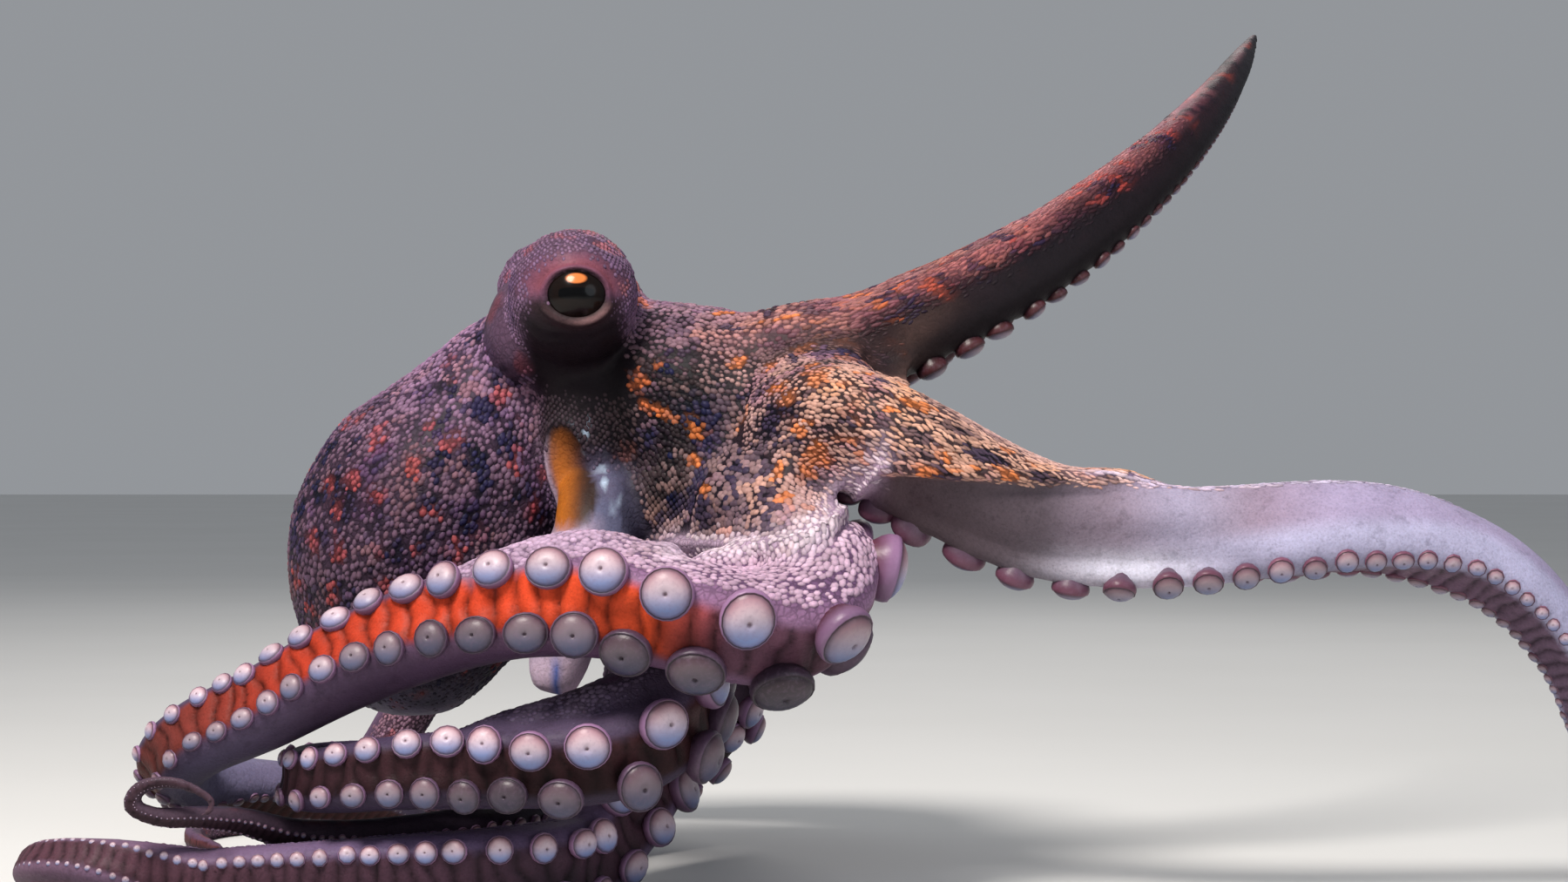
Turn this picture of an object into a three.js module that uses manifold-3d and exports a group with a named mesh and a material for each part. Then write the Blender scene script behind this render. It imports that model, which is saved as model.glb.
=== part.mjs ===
// A life-size common octopus, crawling with its mantle hung behind its raised head.
// Millimetres, +Z up. The animal faces +X, its right side is towards -Y, and it rests on Z = 0.
//
// The flesh is modelled whole, from bent tapering bodies, and parted by thin cuts into
// the pieces that a person would name: mantle, head, arm crown, funnel, eight arms in
// three lengths each, and the web between each pair of arms.
import * as THREE from "three";
import { mergeVertices } from "three/addons/utils/BufferGeometryUtils.js";
import Module from "manifold-3d";

const wasm = await Module();
wasm.setup();

const CUT = 0.3; // width of the cut between two neighbouring pieces
const MERGE = 1e-3; // vertices closer than this are one

const ARM_SIDES = 8; // flats round an arm
const ARM_RADIUS = 23; // arm radius where it leaves the crown
const ARM_TIP_RADIUS = 1.2;
const LYING = 0.8; // height of an arm's middle over its radius where it lies on the floor
const ARM_TAPER = 0.7; // exponent of the narrowing towards the tip
const ARM_WIDTH = 0.96; // half width over radius
const ARM_BACK = 1.16; // height of the rounded back over radius
const ARM_FRONT = 0.78; // depth of the flatter sucker side over radius
const ARM_CUTS = [0, 0.27, 0.6, 1]; // an arm is parted at these shares of its length
const RING_STEP = 10;
const RING_STEP_BY_RADIUS = 1.05;
const RING_BEND = 0.55; // an arm bends by less than this, in radians, from ring to ring

const SUCKER_SIDES = 6;
const SUCKER_DIAMETER = 30; // of the largest suckers, before the arm's own scale
const SUCKER_TAPER = 1.6;
const SUCKER_RAMP = 80; // suckers grow from the mouth to this distance along the arm
const SUCKER_SPREAD = 0.54; // distance of each row from the middle, over arm radius
const SUCKER_PITCH = 0.54; // step from one sucker to the next in the other row, over diameter
const SUCKER_RISE = 0.42; // height over diameter
const SUCKER_SPLAY = 0.2; // how far the two rows lean apart
const SMALLEST_SOLID_SUCKER = 16; // smaller ones are surface detail

const WEB_THICKNESS = 5;
const WEB_DIP = 0.3; // how deep the free edge of the web is scooped

const EYE_RADIUS = 15;
const ORAL_AXIS = new THREE.Vector3(0.8, 0, -0.6); // from the head towards the mouth

const skin = (color, roughness = 0.55) =>
  new THREE.MeshStandardMaterial({ color, roughness, metalness: 0 });
const MATERIAL = {
  mantle: skin(0x6b4a63),
  head: skin(0x5d4358),
  crown: skin(0x8a6a6a),
  arm: skin(0xa788a6),
  web: skin(0x9a7486),
  funnel: skin(0x9c9cb8),
  eye: skin(0x0d0a09, 0.08),
  mouth: skin(0xa65a48),
  beak: skin(0x1d120c, 0.3),
};

// ---------------------------------------------------------------- solids

const point = (p) => new THREE.Vector3(...p);

function solidOf(geometry) {
  const bare = new THREE.BufferGeometry()
    .setAttribute("position", geometry.getAttribute("position"))
    .setIndex(geometry.getIndex());
  const merged = mergeVertices(bare, MERGE);
  return new wasm.Manifold(
    new wasm.Mesh({
      numProp: 3,
      vertProperties: merged.getAttribute("position").array,
      triVerts: new Uint32Array(merged.getIndex().array),
    }),
  );
}

function geometryOf(solid) {
  const mesh = solid.getMesh();
  const flat = new THREE.BufferGeometry()
    .setAttribute("position", new THREE.BufferAttribute(mesh.vertProperties, mesh.numProp))
    .setIndex(new THREE.BufferAttribute(mesh.triVerts, 1))
    .toNonIndexed();
  flat.computeVertexNormals();
  return flat;
}

// Moves every vertex of a closed geometry by place(vertex), after its seams are merged.
function deformed(geometry, place) {
  const merged = mergeVertices(
    new THREE.BufferGeometry()
      .setAttribute("position", geometry.getAttribute("position"))
      .setIndex(geometry.getIndex()),
    MERGE,
  );
  const at = merged.getAttribute("position");
  const vertex = new THREE.Vector3();
  for (let i = 0; i < at.count; i++) {
    place(vertex.fromBufferAttribute(at, i));
    at.setXYZ(i, vertex.x, vertex.y, Math.max(vertex.z, 0)); // what meets the floor is flat
  }
  return merged;
}

// The boolean work can leave crumbs: the piece is the largest body.
const largest = (solid) =>
  solid.decompose().reduce((best, s) => (s.volume() > best.volume() ? s : best));

function ellipsoid(centre, radii, grow = 0, turn = 0, detail = [14, 8]) {
  const g = new THREE.SphereGeometry(1, ...detail);
  g.scale(radii[0] + grow, radii[1] + grow, radii[2] + grow);
  g.rotateY(turn);
  g.translate(...centre);
  return solidOf(g);
}

// A round body whose middle follows a curve. blunt over 2 squares off its two ends.
function bentBody({ middle, radii, blunt, detail }, grow = 0) {
  const curve = new THREE.CatmullRomCurve3(middle.map(point), false, "centripetal");
  const profile = new THREE.SplineCurve(radii.map((r, i) => new THREE.Vector2(i, r)));
  const across = new THREE.Vector3(0, 1, 0);
  const g = deformed(new THREE.SphereGeometry(1, ...detail), (v) => {
    const share = (1 - v.y) / 2;
    const ring = Math.hypot(v.x, v.z) || 1;
    const cap = Math.pow(Math.max(1 - Math.pow(Math.abs(v.y), blunt), 0), 1 / blunt);
    const radius = (profile.getPoint(share).y + grow) * cap;
    const along = curve.getTangentAt(share);
    const out = new THREE.Vector3().crossVectors(along, across).normalize();
    const [toOut, toAcross, ahead] = [(v.x / ring) * radius, (-v.z / ring) * radius, -v.y * grow];
    v.copy(curve.getPointAt(share))
      .addScaledVector(across, toAcross)
      .addScaledVector(out, toOut)
      .addScaledVector(along, ahead);
  });
  return solidOf(g);
}

// ---------------------------------------------------------------- arms

// The middle line of an arm, with the direction of its suckers carried along it
// without needless twist, plus the turns that the arm adds by itself.
class Spine {
  static STEPS = 400;

  constructor({
    root,
    route,
    twist = [[0, 0], [1, 0]],
    radius = ARM_RADIUS,
    taper = ARM_TAPER,
    crest = ARM_BACK,
  }) {
    this.curve = new THREE.CatmullRomCurve3([root, ...route].map(point), false, "centripetal");
    this.curve.arcLengthDivisions = 4 * Spine.STEPS;
    this.length = this.curve.getLength();
    Object.assign(this, { baseRadius: radius, taper, crest });
    this.places = this.curve.getSpacedPoints(Spine.STEPS);
    this.places.forEach((p, i) => {
      p.z = Math.max(p.z, LYING * this.radius((i / Spine.STEPS) * this.length));
    });
    this.tangents = this.places.map((p, i) =>
      this.places[Math.min(i + 1, Spine.STEPS)]
        .clone()
        .sub(this.places[Math.max(i - 1, 0)])
        .normalize(),
    );
    let carried = ORAL_AXIS.clone();
    this.oral = this.tangents.map((t, i) => {
      carried = carried.clone().addScaledVector(t, -carried.dot(t)).normalize();
      const oral = carried.clone().applyAxisAngle(t, Spine.turned(twist, i / Spine.STEPS));
      return this.onItsSide(oral, t, i);
    });
  }

  // Where an arm lies on the floor it rests on one side, its suckers facing out level.
  onItsSide(oral, along, i) {
    const radius = this.radius((i / Spine.STEPS) * this.length);
    const lift = this.places[i].z / radius - LYING;
    const level = along.clone().cross(new THREE.Vector3(0, 0, 1)).normalize();
    level.multiplyScalar(Math.sign(level.dot(oral)));
    return oral.lerp(level, 1 - THREE.MathUtils.smoothstep(lift, 0.1, 1)).normalize();
  }

  // Degrees in the keys, eased between them, to radians.
  static turned(keys, share) {
    const next = Math.max(1, keys.findIndex(([at]) => at >= share));
    const [[from, a], [to, b]] = [keys[next - 1], keys[next]];
    return THREE.MathUtils.degToRad(a + (b - a) * THREE.MathUtils.smoothstep(share, from, to));
  }

  frame(s) {
    const x = THREE.MathUtils.clamp(s / this.length, 0, 1) * Spine.STEPS;
    const i = Math.min(Math.floor(x), Spine.STEPS - 1);
    const blend = (list) => list[i].clone().lerp(list[i + 1], x - i);
    const along = blend(this.tangents).normalize();
    const oral = blend(this.oral).normalize();
    return { place: blend(this.places), along, oral, side: oral.clone().cross(along).normalize() };
  }

  radius(s) {
    const left = THREE.MathUtils.clamp(1 - s / this.length, 0, 1);
    return ARM_TIP_RADIUS + (this.baseRadius - ARM_TIP_RADIUS) * Math.pow(left, this.taper);
  }
}

// The distance from one ring of an arm to the next: shorter where it is thin or bends.
function ringStep(spine, s) {
  const step = RING_STEP + RING_STEP_BY_RADIUS * spine.radius(s);
  const bend = spine.frame(s).along.angleTo(spine.frame(s + step).along);
  return step * Math.min(1, RING_BEND / bend);
}

function armTube(spine, from, to, grow = 0) {
  const rings = [from];
  while (rings.at(-1) < to) rings.push(rings.at(-1) + ringStep(spine, rings.at(-1)));
  const stretch = (to - from) / (rings.at(-1) - from);
  const count = rings.length - 1;
  const tube = new THREE.CylinderGeometry(1, 1, 1, ARM_SIDES, count, false, Math.PI / ARM_SIDES);
  return solidOf(
    deformed(tube, (v) => {
      const s = from + (rings[Math.round((0.5 - v.y) * count)] - from) * stretch;
      const { place, oral, side } = spine.frame(s);
      const r = spine.radius(s) + grow;
      const [x, z] = [v.x * ARM_WIDTH * r, v.z * (v.z > 0 ? ARM_FRONT : spine.crest) * r];
      v.copy(place).addScaledVector(side, x).addScaledVector(oral, z);
    }),
  );
}

function suckerDiameter(spine, s, scale) {
  const ramp = 0.2 + 0.8 * THREE.MathUtils.smoothstep(s, 15, SUCKER_RAMP);
  return scale * SUCKER_DIAMETER * ramp * Math.pow(Math.max(1 - s / spine.length, 0), SUCKER_TAPER);
}

// Distances along the arm of the suckers, which stand in two rows, turn and turn about.
function suckerPlaces(spine, scale) {
  const places = [];
  const end = spine.length * 0.97;
  for (let s = 24; s < end; ) {
    places.push(s);
    s += SUCKER_PITCH * suckerDiameter(spine, s, scale) + 0.6;
  }
  return places;
}

function suckerSolid(spine, s, row, diameter, grow = 0) {
  const { place, along, oral, side } = spine.frame(s);
  const r = spine.radius(s);
  const axis = oral.clone().addScaledVector(side, row * SUCKER_SPLAY).normalize();
  const base = place
    .clone()
    .addScaledVector(side, row * SUCKER_SPREAD * ARM_WIDTH * r)
    .addScaledVector(oral, 0.42 * ARM_FRONT * r);
  const height = SUCKER_RISE * diameter + 0.25 * r + grow;
  const [rim, foot] = [diameter / 2 + grow, 0.36 * diameter + grow];
  const across = new THREE.Vector3().crossVectors(along, axis).normalize();
  const basis = new THREE.Matrix4().makeBasis(
    across,
    axis,
    new THREE.Vector3().crossVectors(across, axis),
  );
  const cup = new THREE.CylinderGeometry(rim, foot, height, SUCKER_SIDES);
  cup.translate(0, height / 2, 0);
  cup.applyMatrix4(basis.setPosition(base));
  return solidOf(deformed(cup, () => {}));
}

// Where the arms leave the crown: a ring square to the mouth's axis.
const RING_CENTRE = [-7, 18, 164];
const RING_RADIUS = 42;
const ringPlace = (degrees, flank) => {
  const a = THREE.MathUtils.degToRad(degrees);
  return [
    RING_CENTRE[0] + 0.6 * RING_RADIUS * Math.cos(a),
    RING_CENTRE[1] + flank * RING_RADIUS * Math.sin(a),
    RING_CENTRE[2] + 0.8 * RING_RADIUS * Math.cos(a),
  ];
};
const RIGHT = -1;
const LEFT = 1;
const [DORSAL, DORSOLATERAL, VENTROLATERAL, VENTRAL] = [22.5, 67.5, 112.5, 157.5];

// Each arm's middle line. twist holds [share of the length, degrees] keys.
const ARMS = {
  // raised to the upper right
  r1: {
    root: [-30, 8, 194],
    route: [[2, 2, 210], [31, 0, 216], [60, 0, 229], [93, 8, 246], [118, 20, 262],
      [153, 48, 290], [182, 90, 319], [204, 140, 346], [223, 200, 373]],
    radius: 25,
    taper: 0.8,
    suckerScale: 0.72,
  },
  // reaching out to the right, its tip on the floor
  r2: {
    root: ringPlace(DORSOLATERAL, RIGHT),
    route: [[23, -45, 183], [45, -62, 175], [72, -68, 160], [102, -72, 146], [136, -74, 140],
      [188, -72, 141], [240, -68, 142], [282, -60, 128], [312, -50, 98], [330, -36, 60],
      [350, -16, 26], [376, 10, 6], [400, 40, 0], [404, 70, 0], [388, 90, 0]],
    radius: 25,
    taper: 0.68,
    crest: 1.28,
    twist: [[0, 0], [0.15, -15], [0.3, -45], [0.42, -60], [0.52, -85], [1, -85]],
    suckerScale: 0.74,
  },
  // across the front, folded back at its left end
  r3: {
    root: ringPlace(VENTROLATERAL, RIGHT),
    route: [[2, -52, 141], [14, -84, 128], [11, -104, 114], [-8, -112, 110], [-33, -114, 114],
      [-66, -108, 118], [-100, -99, 117], [-135, -91, 109], [-169, -83, 96], [-204, -76, 77],
      [-231, -70, 64], [-243, -58, 53], [-240, -38, 43], [-222, -18, 38], [-197, 6, 34],
      [-172, 32, 27], [-160, 62, 14], [-167, 92, 0], [-184, 108, 0], [-200, 106, 0]],
    radius: 26,
    taper: 0.62,
    twist: [[0, 0], [0.12, 10], [0.22, 55], [0.34, 90], [0.48, 115], [0.58, 105], [0.72, 0], [1, 0]],
    suckerScale: 1,
  },
  // below it
  r4: {
    root: ringPlace(VENTRAL, RIGHT),
    route: [[-38, -28, 106], [-42, -66, 84], [-50, -92, 67], [-68, -103, 60], [-90, -103, 57],
      [-117, -98, 55], [-148, -94, 53], [-171, -87, 50], [-187, -72, 48], [-188, -54, 49],
      [-172, -41, 50], [-148, -34, 50], [-120, -24, 49], [-98, -4, 50], [-88, 20, 51],
      [-94, 38, 51], [-108, 42, 48]],
    twist: [[0, 0], [0.12, 20], [0.31, 64], [0.46, 82], [1, 90]],
    suckerScale: 1,
  },
  // lowest of the front ones, lying on the floor
  l4: {
    root: ringPlace(VENTRAL, LEFT),
    route: [[-46, 8, 92], [-58, -22, 48], [-76, -56, 20], [-94, -77, 6], [-114, -86, 0],
      [-135, -86, 0], [-169, -85, 0], [-203, -83, 4], [-237, -81, 12], [-269, -78, 16],
      [-290, -70, 16], [-300, -52, 10], [-292, -36, 2], [-268, -28, 0], [-240, -26, 0]],
    radius: 25,
    twist: [[0, 0], [0.2, 60], [0.4, 90], [1, 90]],
    suckerScale: 0.9,
  },
  // its thin end curls between the two lowest
  l3: {
    root: ringPlace(VENTROLATERAL, LEFT),
    route: [[-11, 105, 106], [-31, 125, 54], [-69, 85, 26], [-96, 30, 22], [-118, -12, 23],
      [-144, -36, 22], [-170, -48, 22], [-194, -60, 25], [-213, -74, 32], [-228, -88, 35],
      [-242, -95, 36], [-251, -98, 41], [-248, -99, 47], [-238, -99, 50], [-226, -99, 47],
      [-219, -100, 41], [-225, -102, 36]],
    taper: 1,
    suckerScale: 0.8,
  },
  // the two on the far side, down to the floor behind the mantle
  l2: {
    root: ringPlace(DORSOLATERAL, LEFT),
    route: [[4, 110, 154], [-28, 165, 108], [-72, 205, 54], [-112, 235, 12], [-152, 253, 0],
      [-192, 252, 0], [-220, 236, 0], [-228, 216, 0]],
    twist: [[0, 0], [0.5, 0], [0.7, -50], [1, -50]],
    suckerScale: 0.9,
  },
  l1: {
    root: ringPlace(DORSAL, LEFT),
    route: [[10, 78, 202], [-24, 125, 200], [-74, 158, 176], [-124, 178, 128], [-165, 188, 72],
      [-202, 188, 20], [-238, 172, 0], [-262, 145, 0], [-264, 112, 0], [-246, 90, 0]],
    twist: [[0, 0], [0.4, 0], [0.7, -90], [1, -90]],
    suckerScale: 0.8,
  },
};
for (const arm of Object.values(ARMS)) arm.spine = new Spine(arm);

// ---------------------------------------------------------------- web

// The sheet between two arms, out to a reach along each, with a scooped free edge.
function webSheet(a, reachA, b, reachB) {
  const onSheet = (u, v) => {
    const share = u * (1 - WEB_DIP * 4 * v * (1 - v));
    const edge = (spine, reach) => {
      const { place, oral } = spine.frame(share * reach);
      return place.addScaledVector(oral, -0.45 * spine.radius(share * reach));
    };
    return edge(a, reachA).lerp(edge(b, reachB), v);
  };
  const STEP = 0.02;
  const sheet = new THREE.BoxGeometry(1, 1, 1, 4, 4, 1);
  return solidOf(
    deformed(sheet, (p) => {
      const [u, v, face] = [p.x + 0.5, p.y + 0.5, Math.sign(p.z)];
      const du = onSheet(u + STEP, v).sub(onSheet(Math.max(u - STEP, 0), v));
      const dv = onSheet(u, v + STEP).sub(onSheet(u, v - STEP));
      const normal = du.cross(dv).normalize();
      p.copy(onSheet(u, v)).addScaledVector(normal, (face * WEB_THICKNESS) / 2);
    }),
  );
}

// Neighbouring arms round the mouth, and how far the web runs along each.
const WEBS = [
  ["r1", 108, "r2", 140],
  ["r2", 80, "r3", 95],
  ["r3", 105, "r4", 95],
  ["r4", 95, "l4", 100],
  ["l4", 110, "l3", 115],
  ["l3", 120, "l2", 120],
  ["l2", 130, "l1", 125],
  ["l1", 110, "r1", 115],
];

// ---------------------------------------------------------------- body

const EYES = {
  eye_right: [-84, -26, 240],
  eye_left: [-98, 56, 247],
};
const eyeBall = (name, grow) =>
  ellipsoid(EYES[name], [EYE_RADIUS, EYE_RADIUS, EYE_RADIUS], grow, 0, [12, 8]);

const MANTLE = {
  middle: [[-103, 28, 234], [-116, 30, 212], [-133, 33, 173], [-150, 36, 137], [-156, 38, 100],
    [-154, 40, 64]],
  radii: [32, 39, 53.5, 60, 58, 50],
  blunt: 2.3,
  detail: [18, 13],
};
const CROWN = {
  middle: [[-84, 18, 222], [-50, 18, 203], [-18, 18, 182], [6, 18, 160]],
  radii: [28, 40, 50, 50],
  blunt: 2.8,
  detail: [18, 10],
};
const CROWN_UNDERSIDE = { centre: [-24, 6, 165], radii: [38, 42, 34] };
const APERTURE = { centre: [-90, -22, 166], radii: [13, 16, 27], turn: -0.3 };
const FUNNEL = {
  middle: [[-76, 12, 178], [-75, -6, 160], [-78, -22, 134], [-87, -34, 108], [-93, -40, 80]],
  radii: [16, 17, 16, 14, 12],
  blunt: 5,
  detail: [10, 8],
};

function headSolid(grow = 0) {
  return [
    ellipsoid([-86, 18, 226], [30, 34, 36], grow, 0, [12, 7]),
    ellipsoid([-81, 18, 184], [24, 33, 50], grow, 0, [12, 6]),
    ellipsoid([-86, -14, 239], [27, 23, 24], grow, 0, [10, 7]),
    ellipsoid([-98, 44, 245], [24, 22, 22], grow, 0, [10, 7]),
  ].reduce((whole, lump) => whole.add(lump));
}

// The mouth is a puckered ring of lip with the tip of the beak showing in it.
const MOUTH_PLACE = [10, 18, 152];
function turnedSolid(profile, segments) {
  const g = new THREE.LatheGeometry(profile.map((p) => new THREE.Vector2(...p)), segments);
  g.applyQuaternion(
    new THREE.Quaternion().setFromUnitVectors(new THREE.Vector3(0, 1, 0), ORAL_AXIS),
  );
  g.translate(...MOUTH_PLACE);
  return solidOf(g);
}
const LIP = [[0, 7], [5, 7.5], [5.5, 14], [9, 17], [13, 15], [15, 9], [15, -8], [0, -8]].reverse();
const BEAK = [[0, 16], [2.4, 13], [4, 9], [4.2, 7.4], [0, 7.3]].reverse();

// ---------------------------------------------------------------- parting

const octopus = new THREE.Group();
const placed = []; // grown copies of what is in place, which cut what comes after

function add(name, material, solid, grown) {
  const free = placed.reduce((rest, other) => rest.subtract(other), solid);
  const mesh = new THREE.Mesh(geometryOf(largest(free)), MATERIAL[material]);
  mesh.name = name;
  octopus.add(mesh);
  if (grown) placed.push(grown);
}

for (const name of Object.keys(EYES)) add(name, "eye", eyeBall(name, 0), eyeBall(name, CUT));
const aperture = ellipsoid(APERTURE.centre, APERTURE.radii, 0, APERTURE.turn);
add("head", "head", headSolid().subtract(aperture), headSolid(CUT).subtract(aperture));
add("funnel", "funnel", bentBody(FUNNEL), bentBody(FUNNEL, CUT));
const mantle = bentBody(MANTLE).subtract(aperture);
add("mantle", "mantle", mantle, bentBody(MANTLE, CUT).subtract(aperture));
add("beak", "beak", turnedSolid(BEAK, 8), turnedSolid(BEAK, 8));
add("mouth_lip", "mouth", turnedSolid(LIP, 10), ellipsoid(MOUTH_PLACE, [17.5, 17.5, 17.5]));
const crownSolid = (grow) =>
  bentBody(CROWN, grow).add(ellipsoid(CROWN_UNDERSIDE.centre, CROWN_UNDERSIDE.radii, grow));
add("crown", "crown", crownSolid(0), crownSolid(CUT));

const LENGTHS = ["base", "middle", "tip"];
for (const [name, { spine, suckerScale }] of Object.entries(ARMS)) {
  const suckers = suckerPlaces(spine, suckerScale);
  // each cut falls half-way between two suckers of one row
  const cuts = ARM_CUTS.map((share) => {
    const next = suckers.findIndex((s) => s > share * spine.length);
    return share === 0 || share === 1 ? share * spine.length : (suckers[next] + suckers[next + 1]) / 2;
  });
  LENGTHS.forEach((length, k) => {
    const [from, to] = [cuts[k] + (k ? CUT / 2 : 0), cuts[k + 1] - (k < 2 ? CUT / 2 : 0)];
    let solid = armTube(spine, from, to);
    let grown = armTube(spine, from, to, CUT);
    suckers.forEach((s, i) => {
      const diameter = suckerDiameter(spine, s, suckerScale);
      const clear = diameter / 2 + 0.5;
      if (diameter < SMALLEST_SOLID_SUCKER || s < from + clear || s > to - clear) return;
      const row = i % 2 ? 1 : -1;
      solid = solid.add(suckerSolid(spine, s, row, diameter));
      grown = grown.add(suckerSolid(spine, s, row, diameter, CUT));
    });
    add(`arm_${name}_${length}`, "arm", solid, grown);
  });
}
for (const [a, reachA, b, reachB] of WEBS) {
  add(`web_${a}_${b}`, "web", webSheet(ARMS[a].spine, reachA, ARMS[b].spine, reachB));
}

// The origin is under the middle of the whole animal, on the floor.
const box = new THREE.Box3().setFromObject(octopus);
const middle = box.getCenter(new THREE.Vector3());
octopus.position.set(-middle.x, -middle.y, -box.min.z);

export default octopus;
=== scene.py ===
# A life-size common octopus with its skin, suckers, eyes and mouth, on a plain studio floor.
# Sizes are millimetres in the animal's own axes: X the way it faces, Y away, Z up from the
# floor. They become metres in the frame's place when a mesh is written.
import math

import bpy
import numpy as np
from mathutils import Matrix, Quaternion, Vector
from mathutils.bvhtree import BVHTree


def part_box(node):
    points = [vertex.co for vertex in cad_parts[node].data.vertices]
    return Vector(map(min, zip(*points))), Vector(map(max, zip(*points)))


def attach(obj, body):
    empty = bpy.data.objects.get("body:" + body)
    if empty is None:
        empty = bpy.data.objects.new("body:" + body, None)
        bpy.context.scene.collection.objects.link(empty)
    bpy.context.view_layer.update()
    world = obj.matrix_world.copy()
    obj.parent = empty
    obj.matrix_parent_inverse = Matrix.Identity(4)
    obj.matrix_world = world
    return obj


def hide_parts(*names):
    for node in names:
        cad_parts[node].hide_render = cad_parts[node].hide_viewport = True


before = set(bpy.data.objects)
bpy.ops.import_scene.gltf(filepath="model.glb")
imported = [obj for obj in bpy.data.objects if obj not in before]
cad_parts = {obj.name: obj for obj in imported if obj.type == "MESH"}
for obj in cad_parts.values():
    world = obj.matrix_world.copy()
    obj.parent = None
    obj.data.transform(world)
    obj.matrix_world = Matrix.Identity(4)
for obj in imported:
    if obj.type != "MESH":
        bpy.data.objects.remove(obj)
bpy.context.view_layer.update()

bpy.ops.object.select_all(action="DESELECT")
chance = np.random.default_rng(8)

# ------------------------------------------------------------------ middle lines
# Every soft part of an octopus is a muscle with no bone in it, drawn out along a bent
# line. Each arm also has a sucker side, which turns about the line as the arm twists.

MM = 0.001
EYES = {"eye_right": (-84, -26, 240), "eye_left": (-98, 56, 247)}
EYE_RADIUS = 15
ORAL_AXIS = Vector((0.8, 0, -0.6))
STEPS = 400
ARM_RADIUS, ARM_TIP_RADIUS, ARM_TAPER = 23, 1.2, 0.7
ARM_WIDTH, ARM_BACK, ARM_FRONT = 0.96, 1.16, 0.78
LYING = 0.8  # of its radius: how high the middle of an arm is when it lies on the floor
NEVER = 9000, 9001  # farther along than any arm reaches

eye_low, eye_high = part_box("eye_right")
SHIFT = np.array((eye_low + eye_high) / 2) - MM * np.array(EYES["eye_right"])


def smooth(x, low, high):
    t = np.clip((x - low) / (high - low), 0, 1)
    return t * t * (3 - 2 * t)


def band(x, rise, full, fall, end):
    """1 from full to fall, 0 below rise and above end."""
    return smooth(x, rise, full) * (1 - smooth(x, fall, end))


def bell(x, width):
    return np.exp(-((x / width) ** 2))


def unit(v):
    return v / np.maximum(np.linalg.norm(v, axis=-1, keepdims=True), 1e-9)


def dot(a, b):
    return (a * b).sum(-1)


def curve(b, c, u, v, w):
    """From b to c as w goes from 0 to 1, leaving b with slope u and reaching c with slope v."""
    return b + u * w + (3 * (c - b) - 2 * u - v) * w**2 + (2 * (b - c) + u + v) * w**3


class Line:
    """A centripetal curve through given points, sampled at equal steps of its length."""

    def __init__(self, points):
        knots = np.array(points, float)
        ends = 2 * knots[0] - knots[1], 2 * knots[-1] - knots[-2]
        p = np.vstack([ends[0], knots, ends[1]])
        gap = np.linalg.norm(np.diff(p, axis=0), axis=1)[:, None] ** 0.5
        a, b, c, d = p[:-3], p[1:-2], p[2:-1], p[3:]
        g, h, k = gap[:-2], gap[1:-1], gap[2:]
        self.knots = b, c
        self.slopes = (
            ((b - a) / g - (c - a) / (g + h) + (c - b) / h) * h,
            ((c - b) / h - (d - b) / (h + k) + (d - c) / k) * h,
        )
        t = np.linspace(0, 1, 4 * STEPS + 1)
        run = np.linalg.norm(np.diff(self.at(t), axis=0), axis=1).cumsum()
        self.length = run[-1]
        even = np.linspace(0, self.length, STEPS + 1)
        self.places = self.at(np.interp(even, np.append(0, run), t))
        self.set_along()

    def at(self, t):
        (b, c), (u, v) = self.knots, self.slopes
        x = t * len(b)
        i = np.minimum(x.astype(int), len(b) - 1)
        return curve(b[i], c[i], u[i], v[i], (x - i)[:, None])

    def set_along(self):
        p = self.places
        self.along = unit(np.vstack([p[1:2] - p[:1], p[2:] - p[:-2], p[-1:] - p[-2:-1]]))

    def pick(self, s, *lists):
        """Values of sampled lists at distances s along the line."""
        x = np.clip(np.asarray(s, float) / self.length, 0, 1) * STEPS
        i = np.minimum(x.astype(int), STEPS - 1)
        w = (x - i)[..., None]
        return [a[i] * (1 - w) + a[i + 1] * w for a in lists]


def turned(keys, share):
    """Radians at a share of an arm, from (share, degrees) keys."""
    at, degrees = zip(*keys)
    n = max(1, next(i for i, a in enumerate(at) if a >= share))
    ease = smooth(share, at[n - 1], at[n])
    return math.radians(degrees[n - 1] + (degrees[n] - degrees[n - 1]) * ease)


class Arm(Line):
    """A tapered arm from its root through its route. It is twisted by (share, degrees) keys;
    crest is how high its back is, suckers their size, turned_out where along it one row of
    them turns to the side, and settling how high above the floor it lies on its side."""

    def __init__(self, root, route, twist=((0, 0), (1, 0)), radius=ARM_RADIUS, taper=ARM_TAPER,
                 crest=ARM_BACK, suckers=1.0, turned_out=NEVER, settling=1.0):
        super().__init__([root, *route])
        self.base_radius, self.taper, self.crest, self.suckers = radius, taper, crest, suckers
        self.turned_out = turned_out
        radii = self.radius(np.linspace(0, self.length, STEPS + 1))
        self.places[:, 2] = np.maximum(self.places[:, 2], LYING * radii)
        self.set_along()
        self.oral = np.zeros_like(self.places)
        carried = ORAL_AXIS.copy()
        for i, (t, r) in enumerate(zip(map(Vector, self.along), radii)):
            carried = (carried - t * carried.dot(t)).normalized()
            oral = Quaternion(t, turned(twist, i / STEPS)) @ carried
            level = t.cross(Vector((0, 0, 1))).normalized()
            level *= math.copysign(1, level.dot(oral))
            flat = 1 - smooth(self.places[i, 2] / r - LYING, 0.1, settling)
            self.oral[i] = oral.lerp(level, flat).normalized()
        self.side = unit(np.cross(self.oral, self.along))

    def radius(self, s):
        left = np.clip(1 - s / self.length, 0, 1)
        return ARM_TIP_RADIUS + (self.base_radius - ARM_TIP_RADIUS) * left**self.taper

    def frame(self, s):
        place, along, oral, side = self.pick(s, self.places, self.along, self.oral, self.side)
        return place, unit(along), unit(oral), unit(side)


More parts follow.
